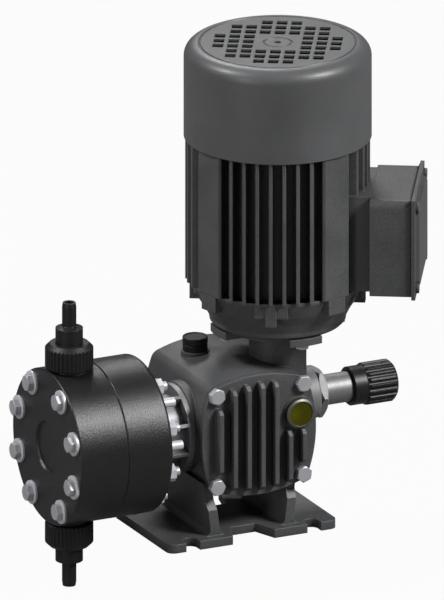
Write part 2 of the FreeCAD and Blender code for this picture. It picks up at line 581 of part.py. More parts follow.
def worm_wheel():
    """The wheel: a webbed disc with teeth lofted askew to follow the worm's lead."""
    body = new_body("worm_wheel", "drive_x", 0, "axis_height")
    pitch_r = "(gear_module*wheel_teeth/2)"
    root_r = f"({pitch_r}-{ROOT})"
    half = "wheel_width/2"
    spin(body, "disc", "Y", [
        (f"-{half}-2", "shaft_r+fit"), (f"{half}+2", "shaft_r+fit"), (f"{half}+2", "shaft_r+5"),
        (f"{half}-3", "shaft_r+7"), (f"{half}-3", f"{root_r}-6"), (half, f"{root_r}-4"), (half, root_r),
        (f"-{half}", root_r), (f"-{half}", f"{root_r}-4"), (f"-{half}+3", f"{root_r}-6"),
        (f"-{half}+3", "shaft_r+7"), (f"-{half}-2", "shaft_r+5"),
    ])
    skew = f"(wheel_width/2*{LEAD}/(2*pi*worm_r)/{pitch_r}*180/pi)"
    sections = []
    for name, at, side in (("front", f"-{half}", 1), ("back", half, -1)):
        turn = f"(180/wheel_teeth+{side}*{skew})"
        section = []
        for reach, height in ((f"{root_r}-0.5", f"-{ROOT}-0.5"), (f"{pitch_r}+{TIP}", TIP)):
            section.append((reach, tooth_half(height)))
        (low_r, low_t), (top_r, top_t) = section
        corners = []
        for reach, thick in ((low_r, f"-{low_t}"), (top_r, f"-{top_t}"), (top_r, top_t), (low_r, low_t)):
            corners.append((f"({reach})*cos{turn}-({thick})*sin{turn}",
                            f"({reach})*sin{turn}+({thick})*cos{turn}"))
        sections.append(new_sketch(body, f"{name}_tooth_outline", "XZ_Plane", at, [corners]))
    tooth = body.newObject("PartDesign::AdditiveLoft", "tooth")
    tooth.Profile = sections[0]
    tooth.Sections = [sections[1]]
    tooth.Ruled = True
    body.Tip = tooth
    around(body, "teeth", "Y", "wheel_teeth", tooth)
    return body


def bearing_section(axis, inner, outer, low, high):
    """The section of a ball bearing, drawn as one ring with a grooved face."""
    low, high, inner, outer = (f"({t})" for t in (low, high, inner, outer))
    third = f"(({outer}-{inner})/3)"
    section = [
        (low, inner), (low, f"{inner}+{third}"), (f"{low}+0.8", f"{inner}+{third}"),
        (f"{low}+0.8", f"{outer}-{third}"), (low, f"{outer}-{third}"), (low, outer),
        (high, outer), (high, inner),
    ]
    return [(r, a) for a, r in section] if axis == "Z" else section


def worm_bearings():
    """The worm's two bearings and the shaft seal above them."""
    body = new_body("worm_bearings", MOTOR_X, 0, 0)
    spin(body, "rings", "Z",
         bearing_section("Z", "worm_journal_r+fit", "worm_bearing_r", WORM_LOW, f"{WORM_LOW}+worm_bearing"),
         bearing_section("Z", "hollow_r+fit", "upper_bearing_r", f"{MOTOR_BASE}+upper_bearing_low",
                         f"{MOTOR_BASE}+upper_bearing_low+upper_bearing"))
    seal = new_body("worm_shaft_seal", MOTOR_X, 0, MOTOR_BASE)
    top = "(seal_low+seal_thick)"
    spin(seal, "ring", "Z", [
        ("hollow_r+fit", "seal_low+1"), ("hollow_r+2", "seal_low"), ("upper_bearing_r", "seal_low"),
        ("upper_bearing_r", top), ("hollow_r+1.5", top), ("hollow_r+1.5", f"{top}-1.5"),
    ])


def eccentric_drive():
    """The eccentric shaft with its two cams, their rings and bearings."""
    shaft = new_body("eccentric_shaft", "drive_x", 0, "axis_height")
    journal_front = "(-shaft_front)"
    spin(shaft, "journals", "Y", [
        (journal_front, "0"), (journal_front, "shaft_r"), ("shaft_back", "shaft_r"), ("shaft_back", "0"),
    ])
    for name, low in (("front_cam", "-ecc_side-ecc_width"), ("back_cam", "ecc_side")):
        pad(shaft, name, "XZ_Plane", low, "ecc_width", circle("-throw", 0, "ecc_r"))
    rings = new_body("eccentric_rings", "drive_x", 0, "axis_height")
    for name, low in (("front_ring", "-ecc_side-ecc_width"), ("back_ring", "ecc_side")):
        pad(rings, name, "XZ_Plane", low, "ecc_width", circle("-throw", 0, "ecc_ring_r"),
            circle("-throw", 0, "ecc_r+fit"))
    bearings = new_body("eccentric_bearings", "drive_x", 0, "axis_height")
    front = f"({COVER_BACK}+hub_depth-shaft_bearing)"
    spin(bearings, "rings", "Y",
         bearing_section("Y", "shaft_r+fit", "shaft_bearing_r", f"{front}+shaft_bearing", front),
         bearing_section("Y", "shaft_r+fit", "shaft_bearing_r", "cavity_back", "cavity_back+shaft_bearing"))


# Push rod and yoke. At rest the rod stands at its rearmost place.

WINDOW_FRONT = "(drive_x-throw-ecc_ring_r-run_gap)"
WINDOW_BACK = "(drive_x+throw+ecc_ring_r+run_gap+stroke)"
WINDOW_HALF = "(ecc_ring_r+throw+run_gap)"
YOKE_FRONT = f"({WINDOW_FRONT}-yoke_wall)"
YOKE_BACK = f"({WINDOW_BACK}+lug_thick)"
BAR_BACK = "(drive_x-gear_module*wheel_teeth/2-gear_module-run_gap-0.5)"
BAR_FRONT = f"({BAR_BACK}-bar_thick)"


def yoke():
    """The forked yoke: a window plate each side of the wheel, joined by a bar ahead of it."""
    body = new_body("yoke", 0, 0, "axis_height")
    for name, low in (("front_plate", "-ecc_side-ecc_width"), ("back_plate", "ecc_side")):
        pad(body, name, "XZ_Plane", low, "ecc_width", [
            (BAR_FRONT, "-bar_half"), (f"{YOKE_FRONT}+2", "-yoke_half"), (YOKE_BACK, "-yoke_half"),
            (YOKE_BACK, "yoke_half"), (f"{YOKE_FRONT}+2", "yoke_half"), (BAR_FRONT, "bar_half"),
        ])
    pad(body, "cross_bar", "XZ_Plane", "-ecc_side-ecc_width", "2*(ecc_side+ecc_width)",
        rectangle(BAR_FRONT, "-bar_half", BAR_BACK, "bar_half"))
    pad(body, "stop_lug", "XZ_Plane", "ecc_side", "lug_reach-ecc_side",
        rectangle(WINDOW_BACK, "-lug_half", YOKE_BACK, "lug_half"))
    cut(body, "windows", "XZ_Plane", "-ecc_side-ecc_width-1", "2*(ecc_side+ecc_width)+2",
        rectangle(WINDOW_FRONT, f"-{WINDOW_HALF}", WINDOW_BACK, WINDOW_HALF))
    return body


DIAPHRAGM_BACK = "(-head_seam+diaphragm_thick)"


def push_rod_parts():
    """The rod with its spring collar, and the metal core behind the diaphragm."""
    rod = new_body("push_rod", 0, 0, "axis_height")
    core_back = f"({DIAPHRAGM_BACK}+run_gap+core_thick)"
    spin(rod, "rod", "X", [
        (core_back, "0"), (core_back, "rod_r"), ("-collar_x", "rod_r"), ("-collar_x", "collar_r"),
        ("-collar_x+collar_thick", "collar_r"), ("-collar_x+collar_thick", "rod_r"),
        (BAR_FRONT, "rod_r"), (BAR_FRONT, "0"),
    ])
    core = new_body("diaphragm_core", 0, 0, "axis_height")
    front = f"({DIAPHRAGM_BACK}+run_gap)"
    spin(core, "disc", "X", [
        (front, "0"), (front, "core_r"), (f"{front}+1.5", "core_r"), (core_back, "core_r*0.6"),
        (core_back, "0"),
    ])


def lantern_angles():
    """Angles from the vertical of the lantern's screws, on both sides."""
    steps = [f"lantern_screw_first+{k}*lantern_screw_step" for k in range(3)]
    return [(side, f"({angle})") for side in (1, -1) for angle in steps]


def on_circle(radius, side, angle):
    """A place on a circle about the head's axis, for a sketch on the YZ plane."""
    return f"{side}*{radius}*sin{angle}", f"{radius}*cos{angle}"


def bolt_places():
    """Centres of the eight head bolts, which leave room for the valves above and below."""
    steps = [f"(bolt_first+{k}*bolt_step)" for k in range(4)]
    return [on_circle("bolt_ring_r", side, angle) for side in (1, -1) for angle in steps]


def lantern():
    """The aluminium lantern between casing and head, with radial ribs and the spring seat."""
    body = new_body("lantern", 0, 0, "axis_height")
    back, web = "(-lantern_back)", "(-lantern_back+lantern_web)"
    ring = "(-lantern_face-lantern_ring)"
    spin(body, "shell", "X", [
        (back, "bush_r+fit"), (back, "lantern_flange_r"), (f"{back}+lantern_flange", "lantern_flange_r"),
        (f"{back}+lantern_flange", "lantern_r"), (ring, "lantern_r"), (ring, "lantern_ring_r"),
        ("-lantern_face", "lantern_ring_r"), ("-lantern_face", "lantern_bore_r"),
        (web, "lantern_bore_r"), (web, "bush_r+fit"),
    ])
    for side in (1, -1):
        for k in range(4):
            angle = f"(bolt_first+{k}*bolt_step)"
            reach = f"{side}*(lantern_r-1)", f"{side}*lantern_rib_r"
            across = ("-lantern_rib/2", "lantern_rib/2")
            corners = []
            for r, w in ((reach[0], across[0]), (reach[1], across[0]), (reach[1], across[1]), (reach[0], across[1])):
                corners.append((f"{r}*sin{angle}+({w})*cos{angle}",
                                f"{side}*(({r})*cos{angle}-({w})*sin{angle})"))
            name = f"rib_{'near' if side < 0 else 'far'}_{k}"
            pad(body, name, "YZ_Plane", f"{back}+lantern_flange-1",
                f"lantern_back-lantern_face-lantern_flange-lantern_ring+2", corners)
    cut(body, "screw_holes", "YZ_Plane", f"{back}-1", "lantern_flange+2",
        *[circle(*on_circle("lantern_screw_r", side, angle), "cap_stem_r+0.3") for side, angle in lantern_angles()])
    return body


def rod_guides():
    """The bush, the lip seal, the return spring and the lantern's screws."""
    bush = new_body("rod_guide_bush", 0, 0, "axis_height")
    spin(bush, "sleeve", "X", tube("bush_r", "rod_r+fit", "-lantern_back", "-lantern_back+lantern_web"))
    seal = new_body("rod_seal", 0, 0, "axis_height")
    low = "(-lantern_back-seal_wide)"
    spin(seal, "lip", "X", [
        (low, "rod_r+1.5"), (f"{low}+1.5", "rod_r+fit"), ("-lantern_back", "rod_r+1"),
        ("-lantern_back", "seal_r"), (low, "seal_r"),
    ])
    spring = doc.addObject("PartDesign::Body", "return_spring")
    spring.Label = "return_spring"
    spring.Placement = FreeCAD.Placement(V(0, 0, 0), FreeCAD.Rotation(V(0, 1, 0), 90))
    seat = "(-lantern_back+lantern_web+spring_wire+run_gap)"
    spring.setExpression("Placement.Base.x", link(seat))
    spring.setExpression("Placement.Base.z", link("axis_height"))
    coil = spring.newObject("PartDesign::AdditiveHelix", "coil")
    coil.Profile = new_sketch(spring, "wire_outline", "XZ_Plane", 0, [hexagon("spring_r", 0, "2*spring_wire")])
    coil.ReferenceAxis = (coil.Profile[0], ["V_Axis"])
    coil.Mode = 1
    free = f"(-collar_x-spring_wire-run_gap-{seat})"
    coil.setExpression("Pitch", link(f"{free}/spring_turns"))
    coil.setExpression("Turns", link("spring_turns"))
    coil.Angle = 0
    spring.Tip = coil
    pieces.append(spring)
    screws = new_body("lantern_screws", 0, 0, "axis_height")
    places = [on_circle("lantern_screw_r", side, angle) for side, angle in lantern_angles()]
    face = "(-lantern_back+lantern_flange)"
    pad(screws, "heads", "YZ_Plane", face, "cap_head", *[circle(x, y, "cap_head_r") for x, y in places])
    pad(screws, "stems", "YZ_Plane", f"{face}-lantern_flange-cap_grip", "lantern_flange+cap_grip+1",
        *[circle(x, y, "cap_stem_r") for x, y in places])


# Dosing head: two thick discs that clamp the diaphragm's rim

def head_back_plate():
    """The plate behind the diaphragm, bolted to the lantern."""
    body = new_body("head_back_plate", 0, 0, "axis_height")
    seam, rear = "(-head_seam)", "(-lantern_back)"
    spin(body, "disc", "X", [
        (seam, "diaphragm_r+run_gap"), (seam, "head_r-seam_edge"), (f"{seam}+seam_edge", "head_r"),
        (f"{rear}-head_edge", "head_r", "-head_edge"),
        (rear, "head_r-head_edge"), (rear, "seal_r+fit"), (f"{rear}-seal_wide", "seal_r+fit"),
        (f"{rear}-seal_wide", "rod_r+0.5"), (f"{DIAPHRAGM_BACK}+cavity_deep", "rod_r+0.5"),
        (f"{DIAPHRAGM_BACK}+cavity_deep", "cavity_r-8"), (DIAPHRAGM_BACK, "cavity_r"),
        (DIAPHRAGM_BACK, "diaphragm_r+run_gap"),
    ])
    cut(body, "bolt_holes", "YZ_Plane", f"{seam}-1", "head_seam-lantern_back+2",
        *[circle(x, y, "screw_hole_r") for x, y in bolt_places()])
    cut(body, "lantern_holes", "YZ_Plane", f"{rear}-cap_grip-1", "cap_grip+2",
        *[circle(*on_circle("lantern_screw_r", side, angle), "cap_stem_r+thread_gap")
          for side, angle in lantern_angles()])
    return body


def diaphragm():
    """The rubber diaphragm with one rolled fold, clamped at its rim."""
    body = new_body("diaphragm", 0, 0, "axis_height")
    front, back = "(-head_seam)", DIAPHRAGM_BACK
    fold = "(cavity_r-9)"
    spin(body, "membrane", "X", [
        (front, "0"), (front, f"{fold}-4"), (f"{front}+1.2", fold), (front, f"{fold}+4"),
        (front, "diaphragm_r"), (back, "diaphragm_r"), (back, f"{fold}+5"), (f"{back}+1.2", fold),
        (back, f"{fold}-5"), (back, "0"),
    ])
    return body


def pump_head():
    """The front disc: pumping chamber behind, valve bores above and below."""
    body = new_body("pump_head", 0, 0, "axis_height")
    front, seam = "(-head_front)", "(-head_seam)"
    spin(body, "disc", "X", [
        (f"{front}+recess", "0"), (f"{front}+recess", "recess_r-1"), (front, "recess_r"),
        (front, "head_r-front_edge", "-front_edge"), (f"{front}+front_edge", "head_r"),
        (f"{seam}-seam_edge", "head_r"), (seam, "head_r-seam_edge"), (seam, "dish_r"),
        (f"{seam}-dish", "dish_floor_r"), (f"{seam}-dish", "0"),
    ])
    for name, low in (("upper_spigot", "head_r-4"), ("lower_spigot", "-valve_out")):
        pad(body, name, "XY_Plane", low, "valve_out-head_r+4", circle("-valve_x", 0, "spigot_r"))
    for name, low in (("upper_bore", "valve_in-0.3"), ("lower_bore", "-valve_out-1")):
        cut(body, name, "XY_Plane", low, "valve_out-valve_in+1.3", circle("-valve_x", 0, "valve_bore_r"))
    for name, low in (("upper_throat", "port_z-port_r-0.5"), ("lower_throat", "-valve_in-0.5")):
        cut(body, name, "XY_Plane", low, "valve_in-port_z+port_r+1", circle("-valve_x", 0, "pocket_r"))
    cut(body, "ports", "YZ_Plane", "-valve_x", "valve_x-head_seam",
        circle(0, "port_z", "port_r"), circle(0, "-port_z", "port_r"))
    cut(body, "bolt_holes", "YZ_Plane", f"{front}-1", "head_front-head_seam+2",
        *[circle(x, y, "screw_hole_r") for x, y in bolt_places()])
    return body


def head_fasteners():
    """Bolts, washers and nuts that clamp the head through both discs."""
    front = "(-head_front)"
    washers = new_body("head_washers", 0, 0, "axis_height")
    pad(washers, "discs", "YZ_Plane", f"{front}-washer_thick", "washer_thick",
        *[circle(x, y, "washer_r") for x, y in bolt_places()])
    cut(washers, "holes", "YZ_Plane", f"{front}-washer_thick-1", "washer_thick+2",
        *[circle(x, y, "screw_hole_r") for x, y in bolt_places()])
    bolts = new_body("head_bolts", 0, 0, "axis_height")
    pad(bolts, "heads", "YZ_Plane", f"{front}-washer_thick-screw_head", "screw_head",
        *[hexagon(x, y, "screw_across", 30) for x, y in bolt_places()])
    pad(bolts, "stems", "YZ_Plane", f"{front}-washer_thick-1",
        "head_front+washer_thick+1-lantern_back+bolt_end", *[circle(x, y, "screw_r") for x, y in bolt_places()])
    nuts = new_body("head_nuts", 0, 0, "axis_height")
    pad(nuts, "nuts", "YZ_Plane", "-lantern_back", "nut_high",
        *[hexagon(x, y, "screw_across", 30) for x, y in bolt_places()])
    cut(nuts, "threads", "YZ_Plane", "-lantern_back-1", "nut_high+2",
        *[circle(x, y, "screw_r+thread_gap") for x, y in bolt_places()])


def outwards(side, *corners):
    """Corners (radius, distance from the head's axis) of a section above or below it."""
    sign = "" if side > 0 else "-"
    return [(r, f"{sign}({z})") for r, z in corners[::side]]


def seat_base(side):
    """Height of the valve seat's underside. Both balls lift upwards, so the two seats face the same way."""
    return "valve_in" if side > 0 else "(-valve_out+0.1)"


def cage_top(side):
    """Height of the ball cage's upper end."""
    return "(valve_out-0.1)" if side > 0 else "(-valve_in)"


def cage_section(side):
    """The cage over the ball: a pocket that lets it lift, and a narrower stop."""
    seat_top, top = f"({seat_base(side)}+seat_thick)", cage_top(side)
    return [
        ("pocket_r", seat_top), ("valve_bore_r-fit", seat_top), ("valve_bore_r-fit", top), ("stop_r", top),
        ("stop_r", f"{seat_top}+pocket_deep"), ("pocket_r", f"{seat_top}+pocket_deep"),
    ]


def valves():
    """The parts of both ball valves, with the hose tails and union nuts that hold them."""
    place = ("-valve_x", 0, "axis_height")
    sides = {"suction": -1, "discharge": 1}
    seats = new_body("valve_seats", *place)
    spin(seats, "rings", "Z", *[
        rectangle("seat_hole_r", seat_base(side), "valve_bore_r-fit", f"{seat_base(side)}+seat_thick")
        for side in sides.values()])
    cages = new_body("valve_cages", *place)
    spin(cages, "sleeves", "Z", *[cage_section(side) for side in sides.values()])
    ways = []
    for port, side in sides.items():
        low = f"({seat_base(side)}+seat_thick+pocket_deep-1)"
        ways.append(cut(cages, f"{port}_flow_way", "XY_Plane", low, f"{cage_top(side)}-{low}+1",
                        circle("stop_r+0.2", 0, "flow_r")))
    around(cages, "flow_ways", "Z", 4, *ways)
    seals = new_body("valve_seals", *place)
    ring = (("valve_bore_r-2.5", "valve_out"), ("tail_flange_r-1", "valve_out"),
            ("tail_flange_r-1", "valve_out+seal_ring"), ("valve_bore_r-2.5", "valve_out+seal_ring"))
    spin(seals, "rings", "Z", *[outwards(side, *ring) for side in sides.values()])
    flange, neck = "(valve_out+seal_ring)", "(tail_collar_out+1.5)"
    for port, side in sides.items():
        ball = new_body(f"{port}_ball", "-valve_x", 0, f"axis_height+{seat_base(side)}+seat_thick+ball_rise")
        spin(ball, "ball", "Z", [("0", "-ball_r", "ball_r"), ("ball_r", "0", "ball_r"), ("0", "ball_r")])
        tail = new_body(f"{port}_hose_tail", *place)
        spin(tail, "tail", "Z", outwards(
            side, ("tail_bore_r", flange), ("tail_flange_r", flange), ("tail_flange_r", f"{flange}+tail_flange"),
            ("tail_collar_r", f"{flange}+tail_flange"), ("tail_collar_r", "tail_collar_out"), ("tail_r", neck),
            ("tail_r", "tail_out-3"), ("tail_tip_r", "tail_out"), ("tail_bore_r", "tail_out")))
    nuts = new_body("union_nuts", *place)
    lip = "(nut_out-nut_lip)"
    nut = (("spigot_r+fit", "nut_in"), ("nut_r-1", "nut_in"), ("nut_r", "nut_in+1"), ("nut_r", "nut_out-3"),
           ("nut_r-3", "nut_out"), ("tail_collar_r+fit", "nut_out"), ("tail_collar_r+fit", lip),
           ("tail_flange_r+0.4", lip), ("tail_flange_r+0.4", "valve_out+0.5"), ("spigot_r+fit", "valve_out+0.5"))
    spin(nuts, "nuts", "Z", *[outwards(side, *nut) for side in sides.values()])
    flutes = []
    for port, low in (("suction", "-nut_out+2"), ("discharge", "nut_in-1")):
        flutes.append(cut(nuts, f"{port}_flute", "XY_Plane", low, "nut_out-nut_in-1",
                          circle("nut_r+0.2", 0, "nut_flute_r")))
    around(nuts, "flutes", "Z", "nut_flutes", *flutes)


# Stroke adjuster on the right of the casing, turned about X

def adjuster():
    """Collar, hexagon ring, sleeve, spindle, stop pad and knob."""
    place = (0, "adjust_y", "axis_height")
    bore = "spindle_r+fit"
    collar = new_body("adjuster_collar", *place)
    inner = "(drive_x+cavity_half+1)"
    spin(collar, "collar", "X", [
        (inner, bore), (inner, "pad_r+1"), ("adjust_face", "pad_r+1"), ("adjust_face", "adjust_pad_r"),
        ("collar_end-1", "adjust_pad_r"), ("collar_end", "adjust_pad_r-1"), ("collar_end", bore),
    ])
    ring = new_body("adjuster_lock_ring", *place)
    pad(ring, "hexagon", "YZ_Plane", "collar_end", "adjust_hex_end-collar_end",
        hexagon("0", "0", "2*adjust_hex_r"), circle(0, 0, "sleeve_r+fit"))
    sleeve = new_body("adjuster_sleeve", *place)
    spin(sleeve, "sleeve", "X", tube("sleeve_r", bore, "collar_end", "sleeve_end"))
    pad_face = f"({YOKE_BACK}+run_gap+stroke)"
    stop = new_body("stop_pad", *place)
    spin(stop, "pad", "X", [
        (pad_face, "0"), (pad_face, "pad_r-0.8"), (f"{pad_face}+0.8", "pad_r"),
        (f"{pad_face}+pad_thick", "pad_r"), (f"{pad_face}+pad_thick", "pad_stem_r"),
        (f"{pad_face}+pad_thick+pad_stem", "pad_stem_r"), (f"{pad_face}+pad_thick+pad_stem", "0"),
    ])
    spindle = new_body("adjusting_spindle", *place)
    near = f"({pad_face}+pad_thick+run_gap)"
    spin(spindle, "spindle", "X", [
        (near, "pad_stem_r+fit"), (near, "spindle_r"), ("spindle_end", "spindle_r"), ("spindle_end", "0"),
        (f"{near}+pad_stem+1", "0"), (f"{near}+pad_stem+1", "pad_stem_r+fit"),
    ])
    knob = new_body("stroke_knob", *place)
    spin(knob, "grip", "X", [
        ("knob_in", "knob_bore_r"), ("knob_in", "knob_neck_r-0.8"), ("knob_in+0.8", "knob_neck_r"),
        ("knob_grip_in", "knob_neck_r"), ("knob_grip_in+2", "knob_r"), ("knob_out-2", "knob_r"),
        ("knob_out", "knob_r-2"), ("knob_out", "0"), ("spindle_end", "0"), ("spindle_end", bore),
        ("knob_floor", bore), ("knob_floor", "knob_bore_r"),
    ])
    flute = cut(knob, "flute", "YZ_Plane", "knob_grip_in+0.5", "knob_out-knob_grip_in",
                circle(0, "knob_r+0.3", "flute_r"))
    around(knob, "flutes", "X", "knob_flutes", flute)


# Motor. Its frame, terminal box and shields are turned about the shaft.

def motor_body(label):
    """An empty body in the motor's own turned frame."""
    return new_body(label, MOTOR_X, 0, MOTOR_BASE, turn="motor_turn")


def tie_places():
    """Centres of the four long bolts that hold the motor together, between two fins."""
    return [(f"tie_ring_r*cos({base}+{side}*tie_angle)", f"tie_ring_r*sin({base}+{side}*tie_angle)")
            for base in (0, 180) for side in (1, -1)]


def motor_end_shield():
    """The bell between flange and frame, with the front bearing seat."""
    body = motor_body("motor_end_shield")
    low, wall = "flange_high", "shield_wall"
    spin(body, "bell", "Z", [
        ("motor_shaft_r+2", low), ("shield_low_r-2", low), ("shield_low_r", f"{low}+2"),
        ("shield_low_r+0.4", f"{low}+5"), ("shield_low_r+4", f"{low}+12"), ("shield_low_r+8", f"{low}+18"),
        ("shield_r", "frame_low-2"), ("shield_r", "frame_low"), (f"frame_bore_r-fit", "frame_low"),
        (f"frame_bore_r-fit", "frame_low+3"), ("frame_bore_r-3", "frame_low+3"),
        (f"shield_low_r-{wall}", f"{low}+{wall}+4"), ("motor_bearing_r+4", f"{low}+{wall}+4"),
        ("motor_bearing_r+4", f"{low}+{wall}+motor_bearing"), ("motor_bearing_r+fit", f"{low}+{wall}+motor_bearing"),
        ("motor_bearing_r+fit", f"{low}+{wall}"), ("motor_shaft_r+2", f"{low}+{wall}"),
    ])
    ears = [("shield_r-12", "-7"), ("fin_reach-1", "-7"), ("fin_reach-1", "7"), ("shield_r-12", "7")]
    brow = pad(body, "brow", "XY_Plane", "frame_low-brow_drop", "brow_drop",
               rectangle("shield_r-12", "-brow_half", "shield_r-1", "brow_half"))
    nib = pad(body, "nib", "XY_Plane", "frame_low-nib_drop", "nib_drop",
              rectangle("shield_r-12", "-nib_half", "shield_r", "nib_half"))
    ear = pad(body, "ear", "XY_Plane", "frame_low-ear_drop", "ear_drop", [
        (f"({x})*cos(45)-({y})*sin(45)", f"({x})*sin(45)+({y})*cos(45)") for x, y in ears])
    around(body, "ears", "Z", 4, brow, nib, ear)
    cut(body, "flange_threads", "XY_Plane", "flange_high-1", "flange_grip+1.5",
        *[circle(f"flange_bolt_r*cos(90*{k}-motor_turn)", f"flange_bolt_r*sin(90*{k}-motor_turn)",
                 "flange_screw_r+thread_gap") for k in range(4)])
    cut(body, "tie_holes", "XY_Plane", "frame_low-tie_head_drop-8", "tie_head_drop+9",
        *[circle(x, y, "tie_head_r+0.3") for x, y in tie_places()])
    return body


def fin_outline(k):
    """One straight fin from inside the core out to the round envelope."""
    low, high = f"({k}*fin_pitch-fin_thick/2)", f"({k}*fin_pitch+fin_thick/2)"
    reach = "fin_reach"
    return [
        ("frame_bore_r-12", low), (f"sqrt({reach}^2-{low}^2)", low, reach),
        (f"sqrt({reach}^2-{high}^2)", high), ("frame_bore_r-12", high),
    ]


def motor_frame():
    """The finned stator frame with corner pads and the terminal box boss."""
    body = motor_body("motor_frame")
    height = "frame_high-frame_low"
    pad(body, "core", "XY_Plane", "frame_low", height, circle(0, 0, "frame_core_r"))
    count = int(value("fins")) // 2
    fins = pad(body, "fins", "XY_Plane", "frame_low", height,
        *[fin_outline(k) for k in range(-count, count + 1)])
    corner = pad(body, "corner_pad", "XY_Plane", "frame_low", height, [
        ("corner_in-8", "corner_in-8"), ("corner_out", "corner_in-2"), ("corner_out", "corner_in"),
        ("corner_in", "corner_out"), ("corner_in-2", "corner_out"),
    ])
    around(body, "fins_and_pads", "Z", 4, fins, corner)
    pad(body, "box_boss", "YZ_Plane", "frame_core_r-8", "box_in-frame_core_r+8",
        rectangle("-box_boss_half", "box_boss_low", "box_boss_half", "box_boss_high"))
    cut(body, "bore", "XY_Plane", "frame_low-1", f"{height}+2", circle(0, 0, "frame_bore_r"))
    cut(body, "tie_ways", "XY_Plane", "frame_low-1", f"{height}+2",
        *[circle(x, y, "tie_r+0.3") for x, y in tie_places()])
    cut(body, "lead_hole", "YZ_Plane", "frame_bore_r-6", "box_in-frame_bore_r+7",
        rectangle("-box_boss_half+8", "box_boss_low+12", "box_boss_half-8", "box_boss_high-12"))
    return body


def fan_cowl():
    """The pressed cowl with its square-holed grille."""
    body = motor_body("fan_cowl")
    low, high, wall, bend = "frame_high", "cowl_high", "cowl_wall", "cowl_shoulder"
    spin(body, "shell", "Z", [
        (f"cowl_r-{wall}", low), ("cowl_r", low), ("cowl_r", f"{high}-{bend}", bend),
        (f"cowl_r-{bend}", high), ("cowl_ring_r", high), ("cowl_ring_r-0.4", f"{high}-groove"),
        ("cowl_ring_r-1.2", f"{high}-groove"), ("cowl_ring_r-1.6", high),
        ("eye_ring_r", high), ("eye_ring_r-0.4", f"{high}-groove"),
        ("eye_ring_r-1.2", f"{high}-groove"), ("eye_ring_r-1.6", high), ("0", high), ("0", f"{high}-{wall}"),
        (f"cowl_r-{bend}", f"{high}-{wall}", f"-({bend}-{wall})"), (f"cowl_r-{wall}", f"{high}-{bend}"),
    ])
    step, half = "grille_pitch", "grille_hole/2"
    middle = [(i, j) for i in (2, 3, 4) for j in (-1, 0, 1)]
    corner = [(i, j) for i in (2, 3) for j in (2, 3)]
    holes = []
    for name, spots in (("side_holes", middle), ("corner_holes", corner)):
        squares = [rectangle(f"{i}*{step}-{half}", f"{j}*{step}-{half}", f"{i}*{step}+{half}", f"{j}*{step}+{half}")
                   for i, j in spots]
        holes.append(cut(body, name, "XY_Plane", f"{high}-{wall}-1", f"{wall}+2", *squares))
    around(body, "grille", "Z", 4, *holes)
    cut(body, "eye", "XY_Plane", f"{high}-{wall}-1", f"{wall}+2", circle(0, 0, "eye_hole_r"))
    return body


